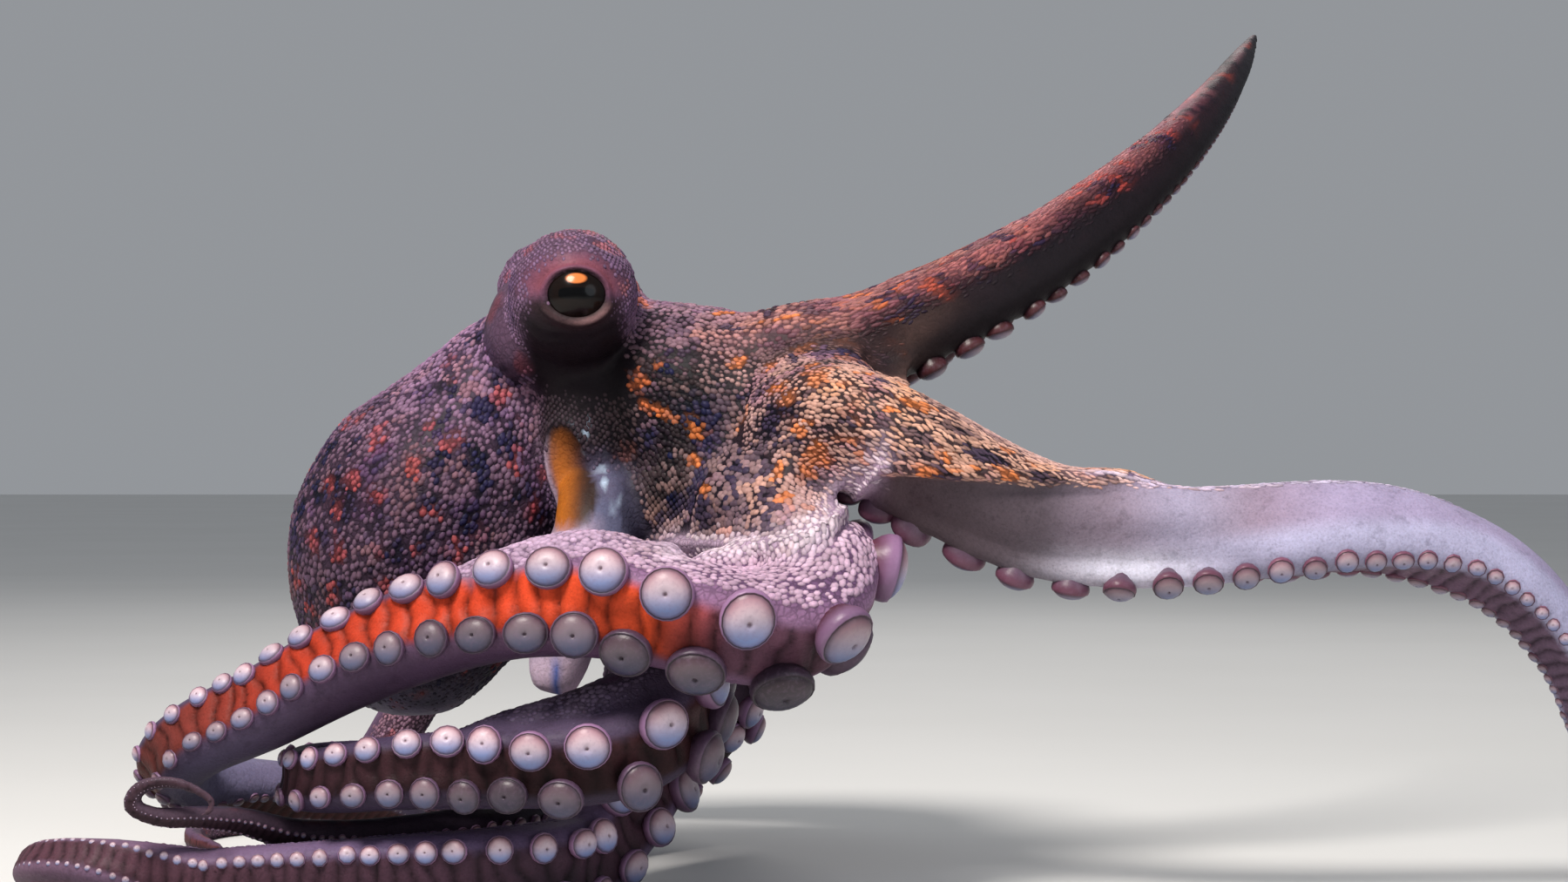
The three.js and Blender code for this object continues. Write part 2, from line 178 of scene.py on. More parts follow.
RING_CENTRE, RING_RADIUS = (-7, 18, 164), 42
RIGHT, LEFT = -1, 1
DORSAL, DORSOLATERAL, VENTROLATERAL, VENTRAL = 22.5, 67.5, 112.5, 157.5


def on_ring(degrees, flank):
    """Where an arm leaves the crown, on a ring square to the mouth's axis."""
    a = math.radians(degrees)
    x, y, z = RING_CENTRE
    return (x + 0.6 * RING_RADIUS * math.cos(a), y + flank * RING_RADIUS * math.sin(a),
            z + 0.8 * RING_RADIUS * math.cos(a))


ARMS = {
    # raised to the upper right
    "r1": Arm((-30, 8, 194),
              [(2, 2, 210), (31, 0, 216), (60, 0, 229), (93, 8, 246), (118, 20, 262),
               (153, 48, 290), (182, 90, 319), (204, 140, 346), (223, 200, 373)],
              radius=25, taper=0.8, suckers=0.72),
    # reaching out to the right, its tip on the floor
    "r2": Arm(on_ring(DORSOLATERAL, RIGHT),
              [(23, -45, 183), (45, -62, 175), (72, -68, 160), (102, -72, 146), (136, -74, 140),
               (188, -72, 141), (240, -68, 142), (282, -60, 128), (312, -50, 98), (330, -36, 60),
               (350, -16, 26), (376, 10, 6), (400, 40, 0), (404, 70, 0), (388, 90, 0)],
              twist=((0, 0), (0.15, -15), (0.3, -45), (0.42, -60), (0.52, -85), (0.65, -85),
                     (0.78, -120), (1, -120)),
              radius=25, taper=0.68, crest=1.28, suckers=0.78, turned_out=(148, 170), settling=5),
    # across the front, folded back at its left end
    "r3": Arm(on_ring(VENTROLATERAL, RIGHT),
              [(2, -52, 141), (14, -84, 128), (11, -104, 114), (-8, -112, 110), (-33, -114, 114),
               (-66, -108, 118), (-100, -99, 117), (-135, -91, 109), (-169, -83, 96),
               (-204, -76, 77), (-231, -70, 64), (-243, -58, 53), (-240, -38, 43),
               (-222, -18, 38), (-197, 6, 34), (-172, 32, 27), (-160, 62, 14), (-167, 92, 0),
               (-184, 108, 0), (-200, 106, 0)],
              twist=((0, 0), (0.12, 10), (0.22, 55), (0.34, 90), (0.48, 115), (0.58, 105),
                     (0.72, 0), (1, 0)),
              radius=26, taper=0.62, suckers=1.12),
    # below it
    "r4": Arm(on_ring(VENTRAL, RIGHT),
              [(-38, -28, 106), (-42, -66, 84), (-50, -92, 67), (-68, -103, 60), (-90, -103, 57),
               (-117, -98, 55), (-148, -94, 53), (-171, -87, 50), (-187, -72, 48),
               (-188, -54, 49), (-172, -41, 50), (-148, -34, 50), (-120, -24, 49),
               (-98, -4, 50), (-88, 20, 51), (-94, 38, 51), (-108, 42, 48)],
              twist=((0, 0), (0.12, 14), (0.31, 50), (0.46, 74), (1, 90)), suckers=1.12),
    # lowest of the front ones, lying on the floor
    "l4": Arm(on_ring(VENTRAL, LEFT),
              [(-46, 8, 92), (-58, -22, 48), (-76, -56, 20), (-94, -77, 6), (-114, -86, 0),
               (-135, -86, 0), (-169, -85, 0), (-203, -83, 4), (-237, -81, 12),
               (-269, -78, 16), (-290, -70, 16), (-300, -52, 10), (-292, -36, 2),
               (-268, -28, 0), (-240, -26, 0)],
              twist=((0, 0), (0.2, 60), (0.4, 90), (1, 90)), radius=25, suckers=0.9),
    # its thin end curls between the two lowest
    "l3": Arm(on_ring(VENTROLATERAL, LEFT),
              [(-11, 105, 106), (-31, 125, 54), (-69, 85, 26), (-96, 30, 22), (-118, -12, 23),
               (-144, -36, 22), (-170, -48, 22), (-194, -60, 25), (-213, -74, 32),
               (-228, -88, 35), (-242, -95, 36), (-251, -98, 41), (-248, -99, 47),
               (-238, -99, 50), (-226, -99, 47), (-219, -100, 41), (-225, -102, 36)],
              taper=1, suckers=0.8),
    # the two on the far side, down to the floor behind the mantle
    "l2": Arm(on_ring(DORSOLATERAL, LEFT),
              [(4, 110, 154), (-28, 165, 108), (-72, 205, 54), (-112, 235, 12), (-152, 253, 0),
               (-192, 252, 0), (-220, 236, 0), (-228, 216, 0)],
              twist=((0, 0), (0.5, 0), (0.7, -50), (1, -50)), suckers=0.9),
    "l1": Arm(on_ring(DORSAL, LEFT),
              [(10, 78, 202), (-24, 125, 200), (-74, 158, 176), (-124, 178, 128),
               (-165, 188, 72), (-202, 188, 20), (-238, 172, 0), (-262, 145, 0),
               (-264, 112, 0), (-246, 90, 0)],
              twist=((0, 0), (0.4, 0), (0.7, -90), (1, -90)), suckers=0.8),
}

# ------------------------------------------------------------------ suckers: where they stand
# Two rows along each arm, turn and turn about, from beside the mouth out to the tip. The
# largest are a quarter of the way out. Their stalks are part of the arm's own flesh.

SUCKER_DIAMETER, SUCKER_TAPER, SUCKER_RAMP = 30, 1.6, 80
SUCKER_SPREAD, SUCKER_PITCH, SUCKER_SPLAY, SUCKER_RISE = 0.54, 0.54, 0.2, 0.42
SUCKER_GAP, SUCKER_LEAN, SUCKER_FOOT, SUCKER_NECK = 0.6, 0.09, 0.42, 0.25
TURNED_OUT = 1.3  # how far the turned ones lean to the side
FIRST_SUCKER, LAST_SUCKER = 24, 0.97


def sucker_diameter(arm, s):
    """Of the suckers at distances s along an arm, small beside the mouth and at the tip."""
    ramp = 0.2 + 0.8 * smooth(s, 15, SUCKER_RAMP)
    return arm.suckers * SUCKER_DIAMETER * ramp * np.maximum(1 - s / arm.length, 0) ** SUCKER_TAPER


def suckers_of(arm):
    """Foot, axis, across, diameter and height of every sucker of an arm, how far along it
    each stands, and how much it belongs to the lower row."""
    at = []
    s = FIRST_SUCKER
    while s < arm.length * LAST_SUCKER:
        at.append(s)
        s += SUCKER_PITCH * sucker_diameter(arm, s) + SUCKER_GAP
    s = np.array(at)
    place, along, oral, side = arm.frame(s)
    row = np.where(np.arange(len(s)) % 2, 1, -1)[:, None]
    r, d = arm.radius(s)[:, None], sucker_diameter(arm, s)[:, None]
    lean = chance.normal(0, SUCKER_LEAN, (len(s), 2))
    axis = unit(oral + side * (row * SUCKER_SPLAY + lean[:, :1]) + along * lean[:, 1:])
    twisted = smooth(s, *arm.turned_out)[:, None] * (row > 0) * chance.uniform(0.6, 1.3, (len(s), 1))
    axis = unit(axis + (0, -TURNED_OUT, 0) * twisted)
    foot = place + side * row * SUCKER_SPREAD * ARM_WIDTH * r + oral * SUCKER_FOOT * ARM_FRONT * r
    return dict(foot=foot, axis=axis, across=unit(np.cross(along, axis)), d=d[:, 0],
                height=(SUCKER_RISE * d + SUCKER_NECK * r)[:, 0], s=s,
                low=smooth(place[:, 2] - foot[:, 2], 0, 4))


SUCKERS = {name: suckers_of(arm) for name, arm in ARMS.items()}

# ------------------------------------------------------------------ flesh
# The whole soft body is one piece of muscle under one skin: a bag-shaped mantle with a
# slit at its neck, a head with two hooded eyes, a crown from which the arms spread, a
# funnel, and a web between each two arms. Each is drawn out of a ball, then all are fused.

MANTLE = dict(middle=[(-103, 28, 234), (-116, 30, 212), (-133, 33, 173), (-150, 36, 137),
                      (-156, 38, 100), (-154, 40, 64)],
              radii=[32, 39, 53.5, 60, 58, 50], blunt=2.3)
CROWN = dict(middle=[(-84, 18, 222), (-50, 18, 203), (-18, 18, 182), (6, 18, 160)],
             radii=[28, 40, 50, 50], blunt=2.8)
FUNNEL = dict(middle=[(-76, 12, 178), (-75, -6, 160), (-78, -22, 134), (-87, -34, 108),
                      (-93, -40, 80)],
              radii=[16, 17, 16, 14, 12], blunt=5)
HEAD_LUMPS = [((-86, 18, 226), (30, 34, 36)), ((-81, 18, 184), (24, 33, 50))]
EYE_LUMPS = {"eye_right": ((-86, -14, 240), (27, 23, 27)),
             "eye_left": ((-98, 44, 245), (24, 22, 22))}
CROWN_UNDERSIDE = (-24, 6, 165), (38, 42, 34)
THROAT = (-50, 6, 156), (22, 26, 26)
NAPE = (-106, 12, 226), (19, 28, 25)
POCKET = dict(centre=(-90, -22, 166), radii=(13, 16, 27), turn=-0.3)
WEBS = [("r1", 108, "r2", 140), ("r2", 80, "r3", 95), ("r3", 105, "r4", 95), ("r4", 95, "l4", 100),
        ("l4", 110, "l3", 115), ("l3", 120, "l2", 120), ("l2", 130, "l1", 125),
        ("l1", 110, "r1", 115)]
WEB_DIP, WEB_THICKNESS = 0.3, 3.6
# folds of web that stand up along the backs of the two front arms
RIDGES = [dict(middle=[(-135, -90, 124), (-117, -95, 128), (-95, -98, 134), (-75, -100, 137),
                       (-58, -100, 136), (-35, -98, 132)], radii=[7, 9, 9.5, 10, 9.5, 9], blunt=3),
          dict(middle=[(-140, -91, 58), (-120, -93, 64), (-90, -94, 71), (-62, -92, 80),
                       (-40, -84, 90)], radii=[6, 9, 11, 12, 12], blunt=3)]
WEB_FOLD = (-22, -84, 129), (22, 16, 10)  # web gathered behind the first fold
PADS = [(0.62, 8), (0.86, 7)]  # flesh over the web near the crown: its rise, its thickness
PAD_REACH = 0.72
RING_STEP = 2.2  # between the rings of points along an arm
STALK_FROM, STALK_WIDTH, STALK_HEIGHT = 7, 0.36, 0.86
VOXEL = 1.5
SKIN_TRIANGLES = 190_000


def to_frame(at):
    return MM * at + SHIFT


def vectors(data, name):
    out = np.empty(len(data) * 3, np.float32)
    data.foreach_get(name, out)
    return out.reshape(-1, 3).astype(float)


def points_of(obj):
    return vectors(obj.data.vertices, "co")


def places_of(obj):
    """Its points in the animal's own millimetres."""
    return (points_of(obj) - SHIFT) / MM


def put_points(obj, at):
    obj.data.vertices.foreach_set("co", np.asarray(at, np.float32).ravel())
    obj.data.update()


def apply_all(obj):
    bpy.context.view_layer.objects.active = obj
    for modifier in list(obj.modifiers):
        bpy.ops.object.modifier_apply(modifier=modifier.name)


def joined(parts, name):
    """The parts as one piece with a name."""
    bpy.ops.object.select_all(action="DESELECT")
    for part in parts:
        part.select_set(True)
    bpy.context.view_layer.objects.active = parts[0]
    bpy.ops.object.join()
    parts[0].name = name
    return parts[0]


def plain_ball(segments, rings):
    bpy.ops.mesh.primitive_uv_sphere_add(segments=segments, ring_count=rings, radius=1)
    return bpy.context.object


def drawn_ball(segments, rings, place):
    """A ball with its poles at shares 0 and 1, whose points go to place(share, angle)."""
    ball = plain_ball(segments, rings)
    x, y, z = points_of(ball).T
    put_points(ball, to_frame(place(np.arccos(np.clip(z, -1, 1)) / np.pi, np.arctan2(y, x))))
    return ball


def power(x, n):
    return np.sign(x) * np.abs(x) ** n


def arm_surface(arm, s, angle):
    """Skin of an arm: angle 0 is the middle of its back, pi the middle of its sucker side."""
    place, along, oral, side = arm.frame(s)
    r = arm.radius(s)
    share = s / arm.length
    keel = smooth(share, 0.25, 0.4) * (arm.crest > 1.2)
    back, front = 2 / (2.15 - 0.6 * keel), 2 / 2.7
    c, q = np.cos(angle), np.sin(angle)
    across = ARM_WIDTH * power(q, np.where(c > 0, back, front))
    groove = 0.1 * bell(across, 0.32)
    high = np.where(c > 0, -arm.crest * np.abs(c) ** back, ARM_FRONT * np.abs(c) ** front - groove)
    return place + side * (across * r)[:, None] + oral * (high * r)[:, None]


def drawn_arm(arm):
    rings = int(arm.length / RING_STEP)
    end_rings = 2

    def place(share, angle):
        s = share * arm.length
        r_end = np.clip(np.minimum(share, 1 - share) * rings / end_rings, 0, 1) ** 0.5
        middle = arm.frame(s)[0]
        return middle + (arm_surface(arm, s, angle) - middle) * r_end[:, None]

    return drawn_ball(36, rings, place)


class Body:
    """A round body on a bent middle line; blunt over 2 squares off its ends."""

    def __init__(self, middle, radii, blunt):
        self.line, self.radii, self.blunt = Line(middle), np.array(radii, float), blunt

    def radius(self, share):
        r = np.concatenate([self.radii[:1], self.radii, self.radii[-1:]])
        x = share * (len(self.radii) - 1)
        i = np.minimum(x.astype(int), len(self.radii) - 2)
        a, b, c, d = r[i], r[i + 1], r[i + 2], r[i + 3]
        return curve(b, c, (c - a) / 2, (d - b) / 2, x - i)

    def cap(self, share, least=0):
        """1 along the middle, less towards the rounded ends."""
        return np.maximum(1 - np.abs(1 - 2 * share) ** self.blunt, least) ** (1 / self.blunt)

    def surface(self, share, angle):
        """share 0 is the end by the head; angle 0 is towards `along x Y`, a quarter is +Y."""
        place, along = self.line.pick(share * self.line.length, self.line.places, self.line.along)
        across = np.array((0, 1, 0))
        out = unit(np.cross(along, across))
        r = (self.radius(share) * self.cap(share))[:, None]
        return place + out * np.cos(angle)[:, None] * r + across * np.sin(angle)[:, None] * r


def drawn_body(body, segments, rings):
    return drawn_ball(segments, rings, lambda share, a: body.surface((1 - np.cos(np.pi * share)) / 2, a))


def lump(centre, radii, turn=0.0):
    """A rounded lump with three radii, turned about Y."""
    ball = plain_ball(48, 24)
    at = points_of(ball) * radii
    put_points(ball, to_frame(at @ np.array(Matrix.Rotation(turn, 3, "Y")).T + centre))
    return ball


def web_edge(name, s, rise):
    place, _, oral, _ = ARMS[name].frame(s)
    return place - oral * rise * ARMS[name].radius(s)[:, None]


def web_surface(web, u, v, rise=0.45):
    a, reach_a, b, reach_b = web
    share = u * (1 - WEB_DIP * 4 * v * (1 - v))
    v = v[:, None]
    return web_edge(a, share * reach_a, rise) * (1 - v) + web_edge(b, share * reach_b, rise) * v


def drawn_web(web, reach=1.0, rise=0.45, thickness=WEB_THICKNESS):
    bpy.ops.mesh.primitive_grid_add(x_subdivisions=44, y_subdivisions=44, size=1)
    sheet = bpy.context.object
    u, v = points_of(sheet)[:, :2].T + 0.5
    put_points(sheet, to_frame(web_surface(web, reach * u, v, rise)))
    wall = sheet.modifiers.new("wall", "SOLIDIFY")
    wall.thickness = thickness * MM
    wall.offset = 0
    apply_all(sheet)
    return sheet


def cut_out(obj, tool):
    cut = obj.modifiers.new("cut", "BOOLEAN")
    cut.operation, cut.solver, cut.object = "DIFFERENCE", "MANIFOLD", tool
    apply_all(obj)


def strewn(name, pattern, origins, bases):
    """One object of many copies of a pattern mesh, each set by a 3x3 base and an origin."""
    at, faces = pattern
    n, k = len(origins), len(at)
    points = np.einsum("nij,kj->nki", bases, at) + origins[:, None, :]
    sizes = np.array([len(f) for f in faces])
    corners = np.concatenate([np.array(f) for f in faces])
    mesh = bpy.data.meshes.new(name)
    mesh.vertices.add(n * k)
    mesh.vertices.foreach_set("co", to_frame(points).astype(np.float32).ravel())
    mesh.loops.add(n * len(corners))
    mesh.loops.foreach_set("vertex_index", (corners[None] + k * np.arange(n)[:, None]).ravel())
    mesh.polygons.add(n * len(faces))
    starts = np.tile(sizes, n).cumsum() - np.tile(sizes, n)
    mesh.polygons.foreach_set("loop_start", starts)
    mesh.polygons.foreach_set("use_smooth", np.ones(n * len(faces), bool))
    mesh.update(calc_edges=True)
    mesh.validate()
    obj = bpy.data.objects.new(name, mesh)
    bpy.context.collection.objects.link(obj)
    return obj


def pattern_of(obj):
    """Points and faces of a pattern piece, which is then deleted."""
    faces = [tuple(p.vertices) for p in obj.data.polygons]
    pattern = points_of(obj), faces
    bpy.data.objects.remove(obj)
    return pattern


def stalks():
    """Short necks of flesh under the larger suckers."""
    bpy.ops.mesh.primitive_cone_add(vertices=12, radius1=1.15, radius2=0.8, depth=1,
                                    end_fill_type="TRIFAN")
    at, faces = pattern_of(bpy.context.object)
    at[:, 2] += 0.5
    each = {k: np.concatenate([s[k] for s in SUCKERS.values()])
            for k in ("foot", "axis", "across", "d", "height")}
    big = each["d"] > STALK_FROM
    foot, axis, across, d, height = (each[k][big] for k in each)
    wide = STALK_WIDTH * d[:, None]
    tall = axis * STALK_HEIGHT * height[:, None]
    bases = np.stack([across * wide, np.cross(axis, across) * wide, tall], axis=2)
    return strewn("stalks", (at, faces), foot, bases)


mantle, crown, funnel = Body(**MANTLE), Body(**CROWN), Body(**FUNNEL)
parts = [drawn_body(mantle, 96, 72), *(lump(*each) for each in HEAD_LUMPS)]
pocket = lump(POCKET["centre"], POCKET["radii"], POCKET["turn"])
for part in parts:
    cut_out(part, pocket)
bpy.data.objects.remove(pocket)
parts += [lump(*each) for each in EYE_LUMPS.values()]
parts += [lump(EYES[name], [EYE_RADIUS + 1.8] * 3) for name in EYES]
parts += [drawn_body(crown, 96, 60), lump(*CROWN_UNDERSIDE), lump(*THROAT), lump(*NAPE)]
parts += [drawn_body(funnel, 40, 40), stalks()]
parts += [drawn_arm(arm) for arm in ARMS.values()]
ridges = [Body(**each) for each in RIDGES]
parts += [drawn_body(each, 32, 32) for each in ridges]
parts.append(lump(*WEB_FOLD))
parts += [drawn_web(web) for web in WEBS]
parts += [drawn_web(web, PAD_REACH, *pad) for web in WEBS for pad in PADS]
skin = joined(parts, "skin")
skin.data.name = "skin"
fuse = skin.modifiers.new("fuse", "REMESH")
fuse.mode = "VOXEL"
fuse.voxel_size = VOXEL * MM
apply_all(skin)


def nearest(at, places, radii):
    """For each point the number of the nearest sample, and its distance over the radius."""
    middle = places.mean(0)
    p, q = (at - middle).astype(np.float32), (places - middle).astype(np.float32)
    found, far = np.empty(len(p), int), np.empty(len(p))
    square = (q**2).sum(1)
    for i in range(0, len(p), 20000):
        part = p[i:i + 20000]
        gap = ((part**2).sum(1)[:, None] + square - 2 * part @ q.T) / radii**2
        found[i:i + 20000] = gap.argmin(1)
        far[i:i + 20000] = np.sqrt(np.maximum(gap.min(1), 0))
    return found, far


def on_arms(at):
    """Which arm each point is on, how far along, its place across and outwards, and how near."""
    best = dict(arm=np.zeros(len(at), int), s=np.zeros(len(at)), x=np.zeros(len(at)),
                z=np.zeros(len(at)), near=np.full(len(at), 99.0))
    for number, arm in enumerate(ARMS.values()):
        margin = 40
        inside = ((at > arm.places.min(0) - margin) & (at < arm.places.max(0) + margin)).all(1)
        here = np.flatnonzero(inside)
        every = 2
        s = np.linspace(0, arm.length, STEPS + 1)[::every]
        i, _ = nearest(at[here], arm.places[::every], arm.radius(s).astype(np.float32) + 2)
        s = np.clip(s[i] + dot(at[here] - arm.places[::every][i], arm.along[::every][i]), 0, arm.length)
        place, _, oral, side = arm.frame(s)
        r = arm.radius(s)
        x, z = dot(at[here] - place, side) / r, dot(at[here] - place, oral) / r
        beyond = np.linalg.norm(at[here] - place, axis=1) / r
        near = np.hypot(x / ARM_WIDTH, z / np.where(z > 0, ARM_FRONT, arm.crest))
        near = np.maximum(near, 0.7 * beyond)
        closer = near < best["near"][here]
        where = here[closer]
        for key, value in dict(arm=np.full(len(here), number), s=s, x=x, z=z, near=near).items():
            best[key][where] = value[closer]
    return best


def on_body(at, body):
    """Distance from a body's middle line over its radius, at each point."""
    s = np.linspace(0, 1, STEPS + 1)[::4]
    radii = (body.radius(s) * body.cap(s, 0.02)).astype(np.float32)
    return nearest(at, body.line.places[::4], radii)[1]


def in_lump(at, centre, radii):
    return np.linalg.norm((at - centre) / np.array(radii), axis=1)


def normals_of(obj):
    return vectors(obj.data.vertex_normals, "vector")


def weights(obj, name, values):
    group = obj.vertex_groups.new(name=name)
    steps = 20
    level = np.round(values * steps).astype(int)
    for k in range(1, steps + 1):
        group.add(np.flatnonzero(level == k).tolist(), k / steps, "REPLACE")


def ease(obj, iterations, group=""):
    modifier = obj.modifiers.new("ease", "SMOOTH")
    modifier.iterations, modifier.vertex_group = iterations, group
    apply_all(obj)


def dice(cell, seed):
    """A number from 0 to 1 that belongs to each cube of a grid."""
    key = (cell * (73856093, 19349663, 83492791)).sum(1) + seed * 7919 & 0xFFFFFFFF
    for _ in range(2):
        key = (key ^ key >> 16) * 0x45D9F3B & 0xFFFFFFFF
    return (key ^ key >> 16) / 0xFFFFFFFF


def lattice(at, size, seed=0):
    """Smooth noise from -1 to 1 that changes over a size in millimetres."""
    p = at / size
    cell = np.floor(p).astype(np.int64)
    w = p - cell
    w = w * w * (3 - 2 * w)
    total = np.zeros(len(at))
    for corner in np.ndindex(2, 2, 2):
        total += (2 * dice(cell + corner, seed) - 1) * np.where(corner, w, 1 - w).prod(1)
    return total


def pocket_depth(at):
    """Below 1 inside the slit behind the head, where the mantle opens."""
    turn = np.array(Matrix.Rotation(-POCKET["turn"], 3, "Y"))
    return np.linalg.norm((at - POCKET["centre"]) @ turn.T / POCKET["radii"], axis=1)


EYE_AXES = {"eye_right": (0.04, -1, 0.02), "eye_left": (-0.1, 1, 0.04)}
LID_ACROSS, LID_UP = math.radians(49), math.radians(37)


def round_eye(at, name):
    """Angles of each point about an eye, as seen down its axis: sideways, upwards, distance."""
    axis = unit(np.array(EYE_AXES[name]))
    aside = unit(np.cross(axis, (0, 0, 1)))
    v = at - EYES[name]
    d = np.linalg.norm(v, axis=1)
    ahead, sideways, up = v @ axis, v @ aside, v @ np.cross(aside, axis)
    off = np.arccos(np.clip(ahead / d, -1, 1))
    across = np.hypot(sideways, up) + 1e-6
    return off * sideways / across, off * up / across, d


# Lines of the right side, as (X, Z): the free edges of the web over the third arm and over
# the second, and the second arm's keel where the web ends and the arm's bare side begins.
WEB_OVER_R3 = [(-75, 137), (-56, 138), (-7, 139), (8, 142), (19, 148), (30, 159), (38, 169)]
WEB_OVER_R2 = [(53, 204), (92, 181), (116, 170), (141, 164)]
KEEL_OF_R2 = [(38, 169), (70, 167), (100, 166), (125, 165.5), (160, 168), (200, 172)]


def over(at, line):
    """Height of points over a line of the right side."""
    return at[:, 2] - np.interp(at[:, 0], *np.array(line, float).T)


def spots(at, size, share, low, high, seed):
    """1 inside scattered round spots: one in each cube of a size, present in a share of them."""
    at = at + 0.22 * size * np.stack([lattice(at, size * 0.55, seed + k) for k in (1, 2, 3)], 1)
    cell = np.floor(at / size).astype(np.int64)
    found = np.zeros(len(at))
    for step in np.ndindex(3, 3, 3):
        here = cell + np.array(step) - 1
        thrown = [dice(here, 10 * seed + k) for k in range(5)]
        away = np.linalg.norm(at - (here + np.stack(thrown[:3], 1)) * size, axis=1)
        radius = size * (low + (high - low) * thrown[3])
        found = np.maximum(found, (thrown[4] < share) * (1 - smooth(away / radius, 0.75, 1.15)))
    return found


# The joins between parts are drawn smooth, as one muscle runs into the next.
ARMS_MEET, NECK = (10, 0, 165), (-96, 15, 212)
ALL_OVER, AT_JOINS, IN_THE_FAN = 3, 45, 90  # how many times each is smoothed
at = places_of(skin)
near_ring = 1 - smooth(np.linalg.norm(at - ARMS_MEET, axis=1), 75, 120)
neck = 1 - smooth(np.linalg.norm(at - NECK, axis=1), 46, 66)
keep_pocket = smooth(pocket_depth(at), 1.2, 1.5)
beside = 1 - smooth(np.min([on_body(at, each) for each in ridges], axis=0), 1.2, 2.0)
weights(skin, "joins", np.max([near_ring, neck, 0.5 * beside], axis=0) * keep_pocket)
ease(skin, ALL_OVER)
ease(skin, AT_JOINS, "joins")
fan = band(at[:, 0], -66, -50, 55, 85) * (1 - smooth(at[:, 1], 60, 90))
weights(skin, "fan", fan * keep_pocket * smooth(over(at, WEB_OVER_R3), -8, 4))
ease(skin, IN_THE_FAN, "fan")

# The lids are cut finer, then drawn round each eyeball with a rolled edge.
LID_REACH = 30
EYE_SHOWS = 13.2
LID_EDGE = 17.0
at = places_of(skin)
close = np.min([np.linalg.norm(at - EYES[name] - 8 * unit(np.array(EYE_AXES[name])), axis=1)
                for name in EYES], axis=0) < LID_REACH - 8
skin.data.polygons.foreach_set("select", np.zeros(len(skin.data.polygons), bool))
skin.data.edges.foreach_set("select", np.zeros(len(skin.data.edges), bool))
skin.data.vertices.foreach_set("select", close)
bpy.ops.object.mode_set(mode="EDIT")
bpy.ops.mesh.select_mode(type="VERT")
bpy.ops.mesh.subdivide(number_cuts=1)
bpy.ops.object.mode_set(mode="OBJECT")
at = places_of(skin)
out = normals_of(skin)
for name in EYES:
    aside, up, d = round_eye(at, name)
    e = np.hypot(aside / LID_ACROSS, up / np.where(up > 0, LID_UP * 0.94, LID_UP))
    lid = EYE_SHOWS + (LID_EDGE - EYE_SHOWS) * smooth(e, 0.96, 1.1)
    held = 1 - smooth(e, 1.12, 1.5)
    # a fold under the brow and the brow swelling over it, a bag under the eye, a crease above
    # the brow, and fine wrinkles on the lids and on the cap of the head
    fold = -1.0 * bell(e - 1.42, 0.16) * smooth(up, -0.3, 0.5)
    brow = 1.3 * bell(e - 1.95, 0.35) * smooth(up, -0.5, 0.4)
    bag = 0.9 * bell(e - 1.28, 0.14) * smooth(-up, 0.0, 0.5)
    crease = -1.0 * bell(e - 2.4, 0.13) * smooth(up, 0.0, 0.5)
    wrinkles = 0.2 * np.cos(17 * e + 0.8 * np.sin(5 * aside)) * smooth(e, 1.3, 1.6)
    wrinkles *= 1 - smooth(e, 2.1, 2.6)
    cap = smooth(e, 2.45, 2.7) * (1 - smooth(e, 3.3, 3.7)) * smooth(up, 0.0, 0.5)
    wrinkles += 0.4 * np.cos(15 * e + 1.2 * np.sin(4 * aside)) * cap
    fresh = d + (lid - d) * held + fold + brow + bag + crease + wrinkles
    ratio = np.where(d < LID_REACH + 6, fresh / d, 1)
    at = np.array(EYES[name]) + (at - EYES[name]) * ratio[:, None]

# Relief: slow unevenness, folds across the sucker side, long grooves on the backs.
FOLD_PITCH, FOLD_DEPTH = 0.4, 0.075
SLIT_RIM, BACK_GROOVES = 1.5, 0.035
KEEL_SINKS, KEEL_RISES, KEEL_FILL = 5.0, 1.4, 3.6
KEEL_DEPTH = [0, 60, 200, 400], [-40, -58, -66, -66]


def folds_of(at, on):
    """Local radius of the arms, and the folds of the strip between the suckers, 0 in a furrow."""
    radius_here, turns_here = np.zeros(len(at)), np.zeros(len(at))
    for number, arm in enumerate(ARMS.values()):
        here = on["arm"] == number
        s = np.linspace(0, arm.length, STEPS + 1)
        turns = np.cumsum(arm.length / STEPS / (FOLD_PITCH * arm.radius(s) + 1))
        radius_here[here] = arm.radius(on["s"][here])
        turns_here[here] = np.interp(on["s"][here], s, turns)
    waver = turns_here + 0.4 * lattice(at, 9, 3)
    return radius_here, np.abs(np.sin(np.pi * waver)) ** 0.6


on = on_arms(at)
radius_here, folds = folds_of(at, on)
armed = 1 - smooth(on["near"], 1.1, 1.35)
strip = armed * smooth(on["z"], 0.25, 0.5) * (1 - smooth(np.abs(on["x"]), 0.4, 0.58))
body = 1 - armed
grooves = armed * np.isin(on["arm"], (0, 7)) * smooth(-on["z"], -0.3, 0.2) * np.cos(on["x"] * 9.0 + 0.6)
uneven = (0.9 * lattice(at, 30) + 0.45 * lattice(at, 13, 1)) * (0.25 + 0.75 * body)
rim = bell(pocket_depth(at) - 1.13, 0.1) * (1 - smooth(at[:, 0], -96, -72)) * (at[:, 1] < 20)
push = uneven + strip * (folds - 0.75) * FOLD_DEPTH * radius_here + SLIT_RIM * rim
push += BACK_GROOVES * grooves * radius_here

